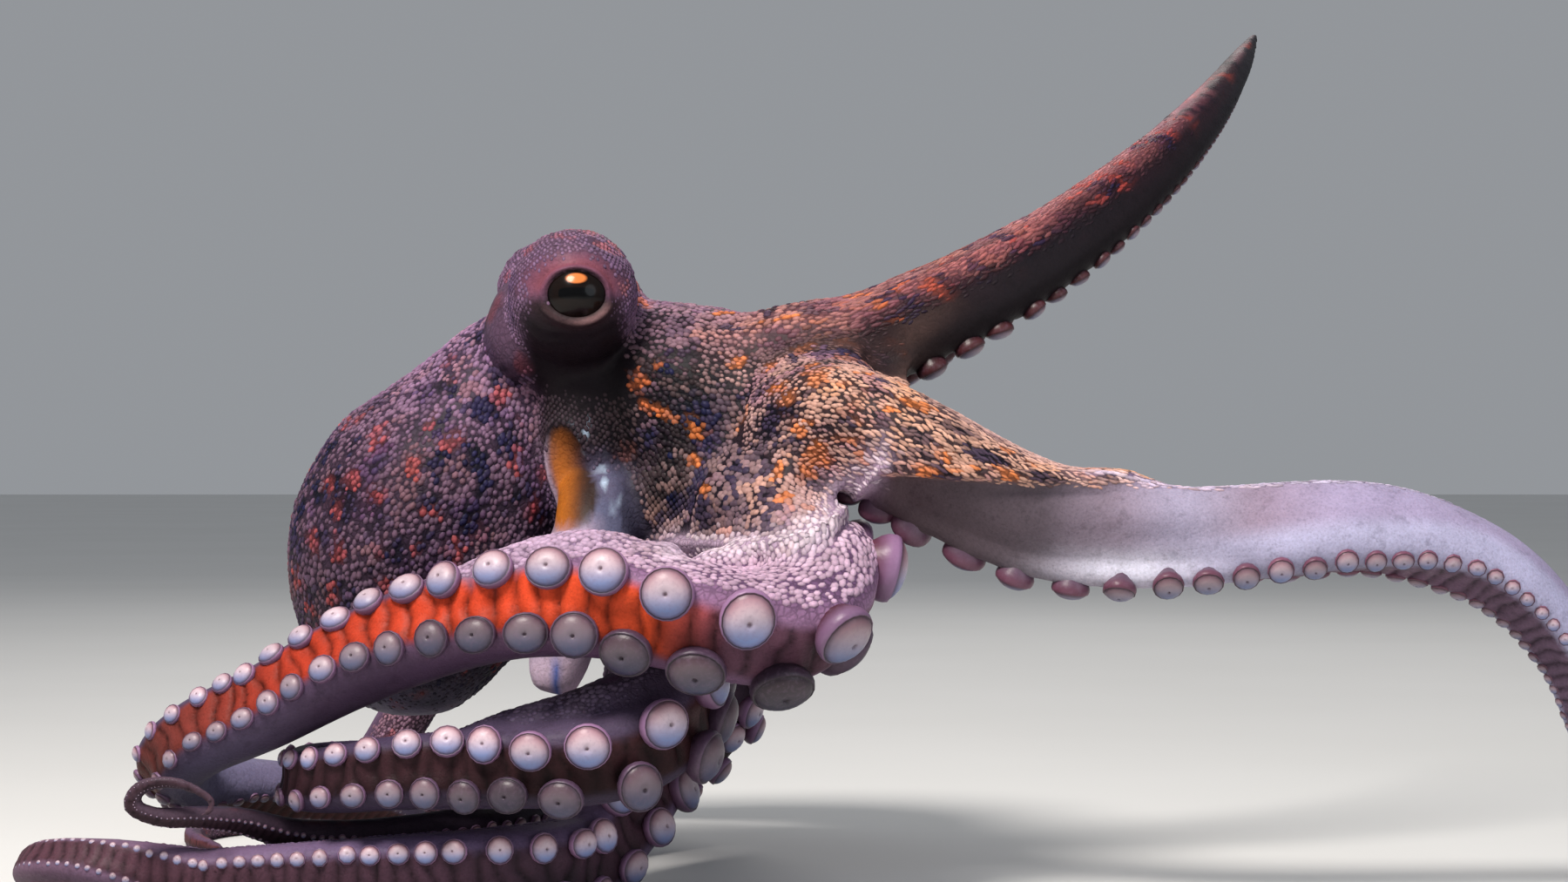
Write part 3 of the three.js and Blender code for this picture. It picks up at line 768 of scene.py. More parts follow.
# the bare side of the second arm is sunk under its keel, the web's edge stands over the third
below = over(at, KEEL_OF_R2)
on_r2 = armed * (on["arm"] == 1) * (at[:, 1] < np.interp(on["s"], *KEEL_DEPTH))
begins, ends = smooth(at[:, 0], 34, 48), 1 - smooth(at[:, 0], 150, 200)
sunk = on_r2 * smooth(-below, 0, 3.5) * begins * ends
sunk *= 1 - smooth(on["z"], 0.1, 0.6)
push -= KEEL_SINKS * sunk
push += KEEL_RISES * on_r2 * bell(below - 1.5, 2.2) * begins * ends
hang = over(at, WEB_OVER_R3)
free = smooth(at[:, 0], -62, -45) * (1 - smooth(at[:, 0], 38, 44)) * (1 - smooth(at[:, 1], -20, 0))
push += free * (2.2 * bell(hang - 1, 2.6) - 1.8 * bell(hang + 5, 3.6))
push += KEEL_FILL * on_r2 * bell(at[:, 0] - 148, 24) * smooth(-on["z"], 0.3, 0.9)
at += out * push[:, None]
at[:, 2] = np.maximum(at[:, 2], 0)
put_points(skin, to_frame(at))
ease(skin, 1)
thin = skin.modifiers.new("thin", "DECIMATE")
thin.ratio = SKIN_TRIANGLES / (2 * len(skin.data.polygons))
thin.use_collapse_triangulate = True
apply_all(skin)
skin.vertex_groups.clear()
skin.data.shade_smooth()
at = places_of(skin)
at[:, 2] = np.maximum(at[:, 2], 0)
put_points(skin, to_frame(at))

# ------------------------------------------------------------------ colours of the skin
# The skin's colour comes from sacs of pigment in it: purple-brown over the whole back,
# drawn in blue-black blotches and orange flecks, lavender on the arms, and an orange-red
# strip between the suckers. Grains of skin stand up pale all over the back. Light and shade
# are painted in as well: sides that face down, furrows and clefts are painted darker, and
# some lit tops and edges paler.


def linear(r, g, b):
    c = np.array((r, g, b)) / 255
    return np.where(c <= 0.04045, c / 12.92, ((c + 0.055) / 1.055) ** 2.4)


def blend(low, high, t):
    return low + (high - low) * np.asarray(t)[..., None]


def along_keys(share, keys):
    """A colour that changes along a line, from (place, colour) keys."""
    at, colours = zip(*keys)
    return np.stack([np.interp(share, at, [linear(*c)[k] for c in colours]) for k in range(3)], 1)


def arm_look(back, side, oral, grain, marks, side_from=1.2, smooth_from=0.9):
    """Colours along an arm's back, its side, the strip between its suckers, and its grains;
    how strongly it is marked near the crown and far out; the angle round the arm where its
    side begins, and the share of its length where the grains fade out."""
    return dict(back=back, side=side, oral=oral, grain=grain, marks=marks, side_from=side_from,
                smooth_from=smooth_from)


ARM_COLOURS = {
    # the raised arm's side and the strip between its suckers are painted near black, as shade
    "r1": arm_look(
        back=((0, (96, 66, 74)), (0.3, (118, 66, 72)), (0.7, (96, 56, 64)), (1, (74, 60, 68))),
        side=((0, (44, 30, 34)), (0.1, (27, 20, 24)), (1, (26, 22, 30))),
        oral=((0, (60, 28, 30)), (0.3, (34, 20, 24)), (1, (34, 26, 34))),
        grain=((0, (182, 134, 126)), (0.25, (158, 94, 94)), (0.7, (116, 68, 76)), (1, (78, 64, 74))),
        marks=(0.9, 0.8), side_from=0.85, smooth_from=0.6),
    "r2": arm_look(
        back=((0, (124, 92, 84)), (0.3, (126, 98, 98)), (0.42, (160, 148, 178)), (1, (150, 142, 174))),
        side=((0, (96, 74, 78)), (0.24, (92, 78, 88)), (0.38, (176, 172, 200)), (1, (160, 158, 190))),
        oral=((0, (120, 60, 56)), (0.3, (120, 84, 104)), (1, (150, 130, 160))),
        grain=((0, (206, 156, 130)), (0.3, (206, 162, 148)), (0.42, (190, 184, 210)), (1, (180, 174, 200))),
        marks=(1.0, 0.0), smooth_from=0.36),
    # beyond its turn the third arm is painted paler and bluer, a painted sheen on its back there
    "r3": arm_look(
        back=((0, (104, 76, 108)), (0.3, (104, 76, 108)), (0.5, (84, 66, 90)), (0.66, (112, 108, 138)),
              (1, (104, 82, 104))),
        side=((0, (150, 114, 144)), (0.28, (140, 104, 138)), (0.45, (84, 64, 88)), (0.6, (74, 62, 86)),
              (0.7, (112, 108, 138)), (1, (96, 74, 96))),
        oral=((0, (92, 58, 72)), (0.22, (116, 76, 96)), (0.26, (214, 78, 42)), (0.36, (204, 68, 38)),
              (0.5, (166, 54, 34)), (0.6, (104, 50, 46)), (1, (90, 56, 64))),
        grain=((0, (208, 176, 196)), (0.3, (192, 158, 184)), (0.5, (124, 102, 130)), (1, (120, 96, 122))),
        marks=(0.0, 0.0), side_from=2.05, smooth_from=0.42),
    "r4": arm_look(
        back=((0, (86, 70, 84)), (0.4, (72, 60, 72)), (1, (58, 46, 62))),
        side=((0, (78, 64, 82)), (0.35, (76, 64, 86)), (0.5, (70, 58, 82)), (1, (62, 50, 74))),
        oral=((0, (70, 38, 38)), (0.3, (58, 32, 36)), (1, (46, 32, 42))),
        grain=((0, (128, 112, 128)), (0.5, (112, 96, 118)), (1, (90, 74, 94))),
        marks=(0.35, 0.3), smooth_from=0.8),
    "l4": arm_look(
        back=((0, (84, 66, 84)), (0.5, (92, 72, 100)), (0.75, (118, 84, 104)), (0.92, (146, 96, 98)),
              (1, (132, 88, 92))),
        side=((0, (90, 70, 92)), (0.5, (100, 84, 116)), (1, (122, 90, 104))),
        oral=((0, (70, 38, 40)), (0.4, (62, 42, 56)), (1, (96, 62, 72))),
        grain=((0, (142, 120, 142)), (0.6, (136, 114, 146)), (1, (156, 116, 124))),
        marks=(0.3, 0.3), smooth_from=0.7),
    "l3": arm_look(
        back=((0, (92, 70, 86)), (0.5, (56, 46, 60)), (0.85, (52, 44, 60)), (1, (128, 88, 98))),
        side=((0, (88, 68, 84)), (0.5, (52, 44, 60)), (1, (80, 62, 74))),
        oral=((0, (80, 42, 42)), (0.5, (52, 38, 48)), (1, (76, 54, 64))),
        grain=((0, (140, 110, 128)), (0.5, (86, 74, 92)), (1, (110, 86, 96))),
        marks=(0.5, 0.2), smooth_from=0.5),
    "l2": arm_look(
        back=((0, (96, 72, 90)), (0.35, (88, 62, 78)), (1, (76, 54, 72))),
        side=((0, (88, 66, 80)), (0.5, (96, 74, 100)), (1, (92, 70, 92))),
        oral=((0, (120, 56, 46)), (0.4, (132, 54, 42)), (1, (96, 56, 62))),
        grain=((0, (168, 130, 136)), (0.5, (150, 116, 138)), (1, (128, 98, 118))),
        marks=(0.9, 0.6)),
}
ARM_COLOURS["l1"] = ARM_COLOURS["l2"]

# of each web: its skin, its free edge, how strongly it is marked, how smooth it is
WEB_COLOURS = [((130, 96, 92), (196, 152, 138), 0.9, 0.0), ((120, 96, 108), (190, 164, 190), 0.5, 0.2),
               ((112, 86, 108), (176, 150, 176), 0.2, 0.3), ((70, 60, 70), (120, 108, 124), 0.3, 0.8),
               ((80, 64, 80), (130, 110, 130), 0.4, 0.4), ((88, 66, 80), (140, 110, 130), 0.8, 0.1),
               ((92, 68, 82), (140, 110, 126), 0.9, 0.0), ((98, 72, 82), (150, 110, 116), 0.9, 0.0)]
# along the bare side of the arm that reaches out, by how far to the right
BARE_SIDE = [(40, (76, 62, 66)), (100, (84, 74, 82)), (130, (132, 118, 134)), (175, (176, 172, 200))]
MOUTH = (6.8, 18, 154.4)
SOFT_JOIN = 5.0  # how far colours run into each other where two parts meet


def web_places():
    """Sample places of every web with how near its free edge and which web each is on."""
    u, v = np.meshgrid(np.linspace(0.1, 1, 40), np.linspace(0, 1, 30))
    u, v = u.ravel(), v.ravel()
    places = [web_surface(web, u, v) for web in WEBS]
    return np.concatenate(places), np.tile(u, len(WEBS)), np.repeat(np.arange(len(WEBS)), len(u))


class Coat:
    """Points of the skin with their colour, the colour of the grains there, how marked the
    skin is and how bare of grains."""

    def __init__(self, at, out):
        self.at, self.out, self.on = at, out, on_arms(at)
        self.radius_here, self.fold = folds_of(at, self.on)
        self.front = 1 - smooth(at[:, 1], -20, 5)
        self.hang, self.keel = over(at, WEB_OVER_R3), over(at, KEEL_OF_R2)

    def dye(self, where, tone=None, grain=None):
        """Blends colours in, each given as red, green, blue and strength."""
        if tone:
            self.tone = blend(self.tone, linear(*tone[:3]), tone[3] * where)
        if grain:
            self.grain = blend(self.grain, linear(*grain[:3]), grain[3] * where)

    def unmark(self, where):
        self.mark = self.mark * (1 - where)

    def smoothen(self, where):
        self.bare = np.maximum(self.bare, where)


# The next six give, for one part: how far off each point is, tone, grain, marked, bare.
def mantle_layer(coat):
    z = coat.at[:, 2]
    # painted light and shade: above its pale bottom edge the mantle and its grains are painted lighter high
    # up, where lit, and darker low down, in shade
    tone = blend(linear(50, 44, 58), linear(58, 42, 58), smooth(z, 60, 130))
    tone = blend(tone, linear(74, 56, 80), smooth(z, 160, 250))
    tone = blend(linear(98, 90, 112), tone, smooth(z, 62, 96))
    grain = blend(linear(78, 70, 86), linear(108, 82, 102), smooth(z, 70, 150))
    grain = blend(grain, linear(152, 118, 152), smooth(z, 165, 235))
    return (on_body(coat.at, mantle) - 1) * 55, tone, grain, smooth(z, 58, 90), 1 - smooth(z, 58, 92)


def crown_layer(coat):
    x, _, z = coat.at.T
    near = np.minimum(on_body(coat.at, crown), in_lump(coat.at, *CROWN_UNDERSIDE))
    near = np.minimum(near, in_lump(coat.at, *THROAT))
    warm = smooth(x + 0.5 * (z - 180), -30, 50)
    tone = blend(linear(40, 30, 38), linear(58, 42, 44), warm)
    grain = blend(linear(172, 138, 138), linear(206, 158, 138), warm)
    grain = blend(grain, linear(150, 116, 134), smooth(z, 205, 225))
    return (near - 1) * 45, tone, grain, 1.0, 0.0


def head_layer(coat):
    near = np.min([in_lump(coat.at, *each) for each in (*HEAD_LUMPS, *EYE_LUMPS.values())], axis=0)
    return (near - 1) * 28 - 2, linear(86, 64, 84), linear(124, 96, 124), 0.35, 0.4


def funnel_layer(coat):
    x, y, z = coat.at.T
    tone = blend(linear(92, 94, 120), linear(206, 182, 204), smooth(-z, -108, -88))
    slit = bell(x + 91, 1.6) * smooth(-z, -96, -90) * (y < -30)
    tone = blend(tone, linear(50, 96, 180), 0.9 * slit)
    return (on_body(coat.at, funnel) - 1) * 15 - 1, tone, tone, 0.0, 1.0


def web_layer(coat):
    places, u, which = web_places()
    i, near = nearest(coat.at, places, 1)
    edge = smooth(u[i], 0.86, 0.97)
    sheets, rims, marked, bared = zip(*WEB_COLOURS)
    sheet = np.array([linear(*c) for c in sheets])[which[i]]
    rim = np.array([linear(*c) for c in rims])[which[i]]
    mark = np.array(marked)[which[i]] * (1 - edge)
    bare = np.maximum(np.array(bared)[which[i]], edge)
    return near - 2.2, blend(sheet, rim, edge), blend(sheet * 2.2, rim, edge), mark, bare


def arm_layer(coat):
    on, n = coat.on, len(coat.at)
    far, mark, bare = np.full(n, 99.0), np.zeros(n), np.zeros(n)
    tone, grain = np.zeros((n, 3)), np.zeros((n, 3))
    for number, (name, arm) in enumerate(ARMS.items()):
        here = on["arm"] == number
        look = ARM_COLOURS[name]
        s, across, outwards = on["s"][here], on["x"][here], on["z"][here]
        t = s / arm.length
        around = np.arctan2(np.abs(across) / ARM_WIDTH, -outwards)
        back, side, oral, knobs = (along_keys(t, look[k]) for k in ("back", "side", "oral", "grain"))
        side_from, smooth_from = look["side_from"], look["smooth_from"]
        to_side = smooth(around, side_from - 0.25, side_from + 0.3)
        past_side = smooth(around, side_from, side_from + 0.5)
        _, _, toward, aside = arm.frame(s)
        down = -(toward[:, 2] * outwards + aside[:, 2] * across) / (np.hypot(across, outwards) + 1e-6)
        # painted shade: the sides of each arm that face down are painted darker, skin and grains alike
        shade = 1 - 0.5 * smooth(down, -0.05, 0.85)
        # painted shade in the furrows between the folds of the sucker strip, deeper on the side that faces
        # down
        painted_fold_shade = (0.2 + 0.8 * coat.fold[here]) * (1 - 0.5 * smooth(down, -0.35, 0.6))
        strip = oral * painted_fold_shade[:, None]
        tone[here] = blend(blend(back, side, to_side) * shade[:, None], strip, smooth(around, 2.3, 2.55))
        grain[here] = blend(knobs, side * 1.4, to_side) * shade[:, None]
        near_crown, far_out = look["marks"]
        mark[here] = (near_crown + (far_out - near_crown) * smooth(t, 0.15, 0.45)) * (1 - past_side)
        bare[here] = np.maximum(past_side, smooth(t, smooth_from - 0.08, smooth_from + 0.08))
        if name in ("r3", "r4"):
            bare[here] = np.maximum(bare[here], smooth(down, 0.1, 0.5))
        far[here] = (on["near"][here] - 1) * arm.radius(s) - 1.5
    return far, tone, grain, mark, bare


LAYERS = dict(mantle=mantle_layer, crown=crown_layer, head=head_layer, funnel=funnel_layer,
              web=web_layer, arm=arm_layer)


def join_layers(coat):
    """Colours of the parts, run into each other where they meet."""
    layers = {part: layer(coat) for part, layer in LAYERS.items()}
    far = {part: layer[0] for part, layer in layers.items()}

    # the web's broad sheet comes down over the roots of the second and third right arms
    x = coat.at[:, 0]
    over_r3 = smooth(coat.hang, 0, 3) * band(x, -66, -50, 34, 44) * coat.front
    over_r2 = smooth(coat.keel, -0.5, 2.5) * band(x, 30, 40, 120, 160) * coat.front
    cover = np.maximum(over_r3, over_r2) * ((coat.on["arm"] >= 1) & (coat.on["arm"] <= 3))
    far["arm"] = far["arm"] + 14 * cover
    far["crown"] = np.where(cover > 0, np.minimum(far["crown"], -6 * cover), far["crown"])

    shares = {part: np.exp(-np.clip(f, -6, 60) / SOFT_JOIN) for part, f in far.items()}
    shares["arm"] *= 1.6
    total = sum(shares.values()) + 1e-12
    coat.tone, coat.grain = (sum(shares[p][:, None] * layers[p][k] for p in layers) / total[:, None]
                             for k in (1, 2))
    coat.mark, coat.bare = (sum(shares[p] * layers[p][k] for p in layers) / total for k in (3, 4))
    coat.on_mantle = shares["mantle"] / total


def web_edges(coat):
    """The sheet's free edge is pale and smooth, and so is the second arm's side below it."""
    x, y, z = coat.at.T
    arm = coat.on["arm"]
    lip_width = 4.2 + 5.0 * smooth(x, -14, 18)
    lip = bell(coat.hang - 0.5 * lip_width, lip_width) * band(x, -58, -40, 38, 44) * coat.front
    coat.dye(lip, (184, 158, 182, 0.92), (228, 208, 222, 0.92))
    coat.unmark(lip)
    hem = bell(over(coat.at, WEB_OVER_R2) + 1.5, 4.2) * band(x, 46, 60, 118, 134) * coat.front
    hem *= (arm != 0) | (coat.on["near"] > 1.3)
    coat.dye(hem, (150, 118, 124, 0.7), (222, 182, 180, 0.65))
    coat.unmark(0.7 * hem)
    under = smooth(-coat.keel, -0.5, 2.5) * (arm == 1) * smooth(x, 34, 46) * (y < 0)
    coat.tone = blend(coat.tone, along_keys(x, BARE_SIDE), under * (1 - smooth(x, 150, 190)))
    coat.smoothen(under)
    coat.unmark(under)
    # painted highlight: a pale sheen on the second arm's bare side
    patch = np.exp(-(((x - 134) / 26) ** 2 + ((z - 131) / 6.5) ** 2)) * (arm == 1)
    coat.dye(patch, (216, 214, 230, 0.95))


def raised_arm(coat):
    """It is streaked along its back, with a painted highlight along its crest, and it is painted almost black
    inside, as shade.
    """
    x, y, z = coat.at.T
    on = coat.on
    on_r1 = (on["arm"] == 0) * smooth(on["s"], 60, 110) * (1 - smooth(on["near"], 1.2, 1.5))
    long_way = np.stack([0.11 * on["s"], on["x"] * coat.radius_here, on["z"] * coat.radius_here], 1)
    streak = smooth(lattice(long_way, 5, 14), 0.0, 0.3) * on_r1 * smooth(-on["z"], -0.1, 0.4)
    coat.dye(streak, (38, 22, 30, 0.8), (52, 30, 38, 0.7))
    # painted highlight along the lit crest of the back
    crest = bell(on["x"] - 0.1, 0.16) * (on["z"] < 0) * on_r1 * (1 - smooth(on["s"], 280, 330))
    coat.dye(crest, (176, 118, 126, 0.6), (196, 140, 142, 0.5))
    # painted shade: the inner side, turned towards the mouth, is painted almost black
    inner = (on["arm"] == 0) * smooth(on["z"], -0.25, 0.25) * smooth(on["s"], 40, 62)
    inner *= 1 - smooth(on["near"], 1.5, 2.0)
    turned_under = smooth(coat.out @ np.array(ORAL_AXIS), 0.05, 0.4) * smooth(z, 172, 182) * smooth(x, 8, 26)
    inner = np.maximum(inner, turned_under * (y > -50) * (y < 80))
    coat.dye(inner * (1 - smooth(on["s"], 230, 330)), (25, 19, 23, 0.9))
    coat.dye(inner, grain=(40, 30, 35, 0.9))
    coat.smoothen(inner)


def reaching_arm(coat):
    """Its far side is pebbled, and it has a pale toothed keel along its back."""
    on = coat.on
    behind = (on["arm"] == 1) * smooth(coat.out[:, 1], 0.1, 0.45) * band(on["s"], 90, 150, 400, 470)
    behind *= 1 - smooth(on["z"], 0.0, 0.4)
    coat.dye(behind, (104, 84, 108, 0.8), (168, 146, 172, 0.8))
    coat.mark = np.maximum(coat.mark, 0.55 * behind)
    toothed = (on["arm"] == 1) * bell(on["x"], 0.11) * (on["z"] < -0.6) * band(on["s"], 125, 150, 330, 360)
    coat.dye(toothed, (150, 130, 168, 0.7), (206, 190, 218, 1))
    coat.bare = coat.bare * (1 - behind) * (1 - smooth(toothed, 0.2, 0.5))


def front_folds(coat):
    """The folds over the front arms have no marks, and the upper one is pale."""
    beside = [on_body(coat.at, each) for each in ridges]
    coat.mark = coat.mark * smooth(np.min(beside, axis=0), 1.15, 1.5)
    coat.dye(1 - smooth(beside[0], 1.0, 1.6), (138, 112, 142, 0.75), (186, 158, 184, 0.75))


def mouth_disc(coat):
    """Flesh round the mouth is smooth and darkens outwards."""
    axis = np.array(ORAL_AXIS)
    from_mouth = coat.at - np.array(MOUTH)
    axial = from_mouth @ axis
    radial = np.linalg.norm(from_mouth - axial[:, None] * axis, axis=1)
    disc = smooth(coat.out @ axis, 0.1, 0.4) * (1 - smooth(radial, 40, 60)) * smooth(coat.at[:, 1], -30, -18)
    disc *= smooth(axial, -45, -30) * (1 - 0.5 * (coat.on["near"] < 1))
    flesh = blend(linear(138, 94, 98), linear(74, 50, 60), smooth(radial, 15, 45))
    coat.tone = blend(coat.tone, flesh, disc)
    coat.smoothen(smooth(disc, 0.2, 0.6))
    coat.unmark(disc)


def flanks(coat):
    """Beside each eye the head is dark, down to the mantle's slit, and a furrow runs ahead, painted dark as
    shade.
    """
    x, y, z = coat.at.T
    for ex, ey, ez in EYES.values():
        outer = smooth((y - ey) * math.copysign(1, ey), -34, -20) * (1 - smooth(np.abs(y - ey), 26, 40))
        u, v = x - ex + 0.1 * (z - ez + 30), z - ez
        dark = (1 - smooth(np.abs(u), 17, 25)) * band(v, -74, -58, -12, 2) * outer
        coat.dye(dark, (20, 15, 18, 0.95), (50, 40, 44, 0.93))
        coat.smoothen(dark * smooth(v, -52, -34))
        coat.unmark(dark)
        # painted shade in the furrow; some grains in it are left a little lighter
        furrow = np.exp(-(((u - 36) / 22) ** 4)) * band(v, -96, -80, -30, 0) * outer
        furrow *= 0.5 + 0.5 * smooth(lattice(coat.at, 12, 8) + 0.4 * smooth(-u, -30, -14), -0.3, 0.3)
        spared = smooth(lattice(coat.at, 2.6, 31), 0.3, 0.5)
        coat.dye(furrow, (14, 11, 16, 0.95))
        coat.dye(furrow * (1 - 0.4 * spared), grain=(26, 22, 28, 0.96))


def clouds(coat):
    """The grains go from cream to purple in clouds."""
    cloud = lattice(coat.at, 17, 51) + 0.5 * lattice(coat.at, 6, 52)
    cream, purple = smooth(cloud, 0.1, 0.8) * coat.mark, smooth(-cloud, 0.1, 0.7) * coat.mark
    plain = np.ones(3)
    coat.grain = coat.grain * blend(blend(plain, np.array((1.22, 1.08, 0.86)), cream),
                                    np.array((0.7, 0.62, 0.86)), purple)
    coat.tone = coat.tone * blend(plain, np.array((0.7, 0.66, 0.8)), purple)


def markings(coat):
    """Blue-black blotches, and orange or red clusters, both drawn out along the sheet, and a broad painted
    shadow beside the head, laid in with the blotches.
    """
    x, _, z = coat.at.T
    arm = coat.on["arm"]
    drawn = smooth(x, 0, 40) * smooth(z, 120, 160) * (arm <= 1)
    along_sheet = coat.at @ unit(np.array([(0.87, 0, -0.5), (0, 1.0, 0), (0.5, 0, 0.87)])).T
    stretched = along_sheet * (0.26, 1, 1.1)
    dark = (spots(coat.at, 11, 0.85, 0.32, 0.58, 11) * (1 - drawn)
            + spots(stretched, 6.5, 0.8, 0.3, 0.5, 12) * drawn)
    dark *= 0.5 + 0.5 * smooth(lattice(coat.at, 40, 6), -0.45, 0.1)
    # painted shadow: broad dark patches beside the head, in the same colour as the blotches
    shadowed = smooth(lattice(coat.at, 15, 41), 0.05, 0.35) * band(x, -80, -68, -38, 0)
    dark = np.maximum(dark, 0.95 * shadowed * (1 - smooth(z, 196, 214)))
    rust = (spots(coat.at, 13, 0.6, 0.24, 0.42, 21) * (1 - drawn)
            + spots(stretched, 7, 0.6, 0.28, 0.42, 22) * drawn)
    rust *= coat.mark * (1 - 0.35 * coat.on_mantle)
    dark *= coat.mark * (1 - rust)
    warm = smooth(x, -110, -30) * (1 - smooth(coat.on["s"] * (arm == 0), 60, 120))
    rust_colour = blend(linear(190, 74, 62), linear(224, 124, 60), warm)
    coat.dye(dark, (9, 10, 24, 0.93), (20, 26, 62, 0.92))
    coat.tone = blend(coat.tone, rust_colour * 0.5, 0.7 * rust)
    coat.grain = blend(coat.grain, rust_colour, 0.85 * rust)


def head_slit(coat):
    """The slit behind the head is orange-brown within, painted darker deeper in as shade, with a
    pale rim on the mantle's side, partly a painted highlight along its lit edge, and pale
    blue-white flecks ahead of it, painted highlights on the edge of the head's skin."""
    x, y, z = coat.at.T
    near_side = y < 20
    depth = pocket_depth(coat.at)
    within = (1 - smooth(depth, 0.92, 1.06)) * near_side
    # painted shade: the inside of the slit darkens from orange-brown towards its back
    coat.tone = blend(coat.tone, blend(linear(176, 100, 34), linear(48, 32, 28), smooth(x, -93, -80)), within)
    # the pale rim and flap are partly their own colour and partly a painted highlight on the lit edge
    rim = bell(depth - 1.1, 0.08) * (1 - smooth(x, -96, -84)) * near_side * (1 - smooth(z, 172, 186))
    flap = bell(depth - 1.12, 0.2) * (1 - smooth(z, 140, 152)) * (1 - smooth(x, -76, -66)) * near_side
    rim = np.maximum(rim, flap)
    coat.dye(rim, (190, 164, 184, 0.9))
    # painted highlights: pale blue-white flecks along the edge of the head's skin
    painted_glints = bell(x + 0.42 * (z - 180) + 80, 2.6) * band(z, 150, 156, 188, 194)
    painted_glints *= smooth(lattice(coat.at, 3.2, 9), 0.0, 0.3) * (y < -8)
    coat.dye(painted_glints, (186, 204, 226, 0.9))
    coat.smoothen(np.maximum(within, rim))


def hoods(coat):
    """Round each eye a smooth maroon hood, a pale lower lid, and dark flesh under it."""
    for name in EYES:
        aside, up, d = round_eye(coat.at, name)
        e = np.hypot(aside / LID_ACROSS, up / LID_UP)
        close = d < 34
        hood = (1 - smooth(e, 1.5, 1.95)) * smooth(up, -0.55, 0.1) * close
        coat.dye(hood, (104, 72, 96, 1))
        coat.dye(bell(e - 1.35, 0.35) * smooth(up, -0.2, 0.3) * close, (124, 64, 72, 0.7))
        under = (1 - smooth(e, 1.45, 1.9)) * smooth(-up, -0.1, 0.35) * close
        coat.dye(under, (46, 33, 38, 1))
        forward = aside if name == "eye_left" else -aside
        crescent = bell(e - 1.17, 0.1) * smooth(-up, 0.1, 0.5) * close
        crescent *= 0.12 + 0.88 * smooth(forward, -0.35, 0.45)
        coat.dye(crescent, (170, 130, 130, 0.7))
        coat.dye((1 - smooth(e, 0.98, 1.1)) * close, (14, 10, 10, 1))
        ring = np.maximum(np.maximum(hood, under), crescent)
        coat.smoothen(ring * np.where(e < 2.0, 1, 0.8))


def paint(at, out):
    coat = Coat(at, out)
    for step in (join_layers, web_edges, raised_arm, reaching_arm, front_folds, mouth_disc, flanks,
                 clouds, markings, head_slit, hoods):
        step(coat)
    coat.tone, coat.grain = np.maximum(coat.tone, 0), np.maximum(coat.grain, 0)
    coat.bare = np.clip(coat.bare, 0, 1)
    return coat


def give(obj, name, values):
    """A named value or colour at each point of a piece."""
    values = np.asarray(values, np.float32)
    if values.ndim == 1:
        obj.data.attributes.new(name, "FLOAT", "POINT").data.foreach_set("value", values)
    else:
        full = np.ones((len(values), 4), np.float32)
        full[:, :3] = values
        obj.data.attributes.new(name, "FLOAT_COLOR", "POINT").data.foreach_set("color", full.ravel())


class Flow:
    """A socket among a material's nodes. Sums on it add Math nodes."""

    def __init__(self, tree, socket=None):
        self.tree, self.socket = tree, socket

    def node(self, kind, settings=None, inputs=None, out=0):
        made = self.tree.nodes.new("ShaderNode" + kind)
        for key, value in (settings or {}).items():
            setattr(made, key, value)
        for key, value in (inputs or {}).items():
            if isinstance(value, Flow):
                self.tree.links.new(value.socket, made.inputs[key])
            else:
                made.inputs[key].default_value = value
        return Flow(self.tree, made.outputs[out])

    def math(self, operation, a, b=0.0):
        return self.node("Math", dict(operation=operation), {0: a, 1: b})

    def __add__(self, other):
        return self.math("ADD", self, other)

    def __sub__(self, other):
        return self.math("SUBTRACT", self, other)

    def __rsub__(self, other):
        return self.math("SUBTRACT", other, self)

    def __mul__(self, other):
        return self.math("MULTIPLY", self, other)

    __radd__, __rmul__ = __add__, __mul__

    def step(self, low, high):
        """0 below low, 1 above high, eased between."""
        return self.node("MapRange", dict(interpolation_type="SMOOTHSTEP"),
                         {"Value": self, "From Min": low, "From Max": high})

    def mixed(self, low, high):
        """Colour low where this is 0, high where it is 1."""
        return self.node("Mix", dict(data_type="RGBA"), {0: self, 6: low, 7: high}, out=2)

    def named(self, name, colour=False):
        return self.node("Attribute", dict(attribute_name=name), out="Color" if colour else "Fac")

    def place(self):
        return self.node("TexCoord", out="Object")

    def noise(self, scale, detail=2.0, rough=0.5, at=None):
        return self.node("TexNoise", None, {"Vector": at or self.place(), "Scale": scale,
                                            "Detail": detail, "Roughness": rough}, "Fac")

    def cells(self, scale, feature="F1", at=None):
        return self.node("TexVoronoi", dict(feature=feature),
                         {"Vector": at or self.place(), "Scale": scale}, "Distance")


def finish(name, roughness=0.45, coat=0.0, coat_roughness=0.2, subsurface=0.0, specular=0.5):
    """A new material, its nodes, and its surface shader with the values that stay constant."""
    material = bpy.data.materials.new(name)
    material.use_nodes = True
    tree = material.node_tree
    surface = tree.nodes["Principled BSDF"]
    surface.inputs["Roughness"].default_value = roughness
    surface.inputs["Coat Weight"].default_value = coat
    surface.inputs["Coat Roughness"].default_value = coat_roughness
    surface.inputs["Subsurface Weight"].default_value = subsurface
    surface.inputs["Subsurface Radius"].default_value = (1.0, 0.4, 0.25)
    surface.inputs["Subsurface Scale"].default_value = 0.002
    surface.inputs["Specular IOR Level"].default_value = specular
    return material, Flow(tree), surface


def drive(surface, **flows):
    """Links what varies to the surface shader; Base_Color stands for Base Color."""
    for key, value in flows.items():
        value.tree.links.new(value.socket, surface.inputs[key.replace("_", " ")])


def rgba(r, g, b):
    return (*linear(r, g, b), 1.0)


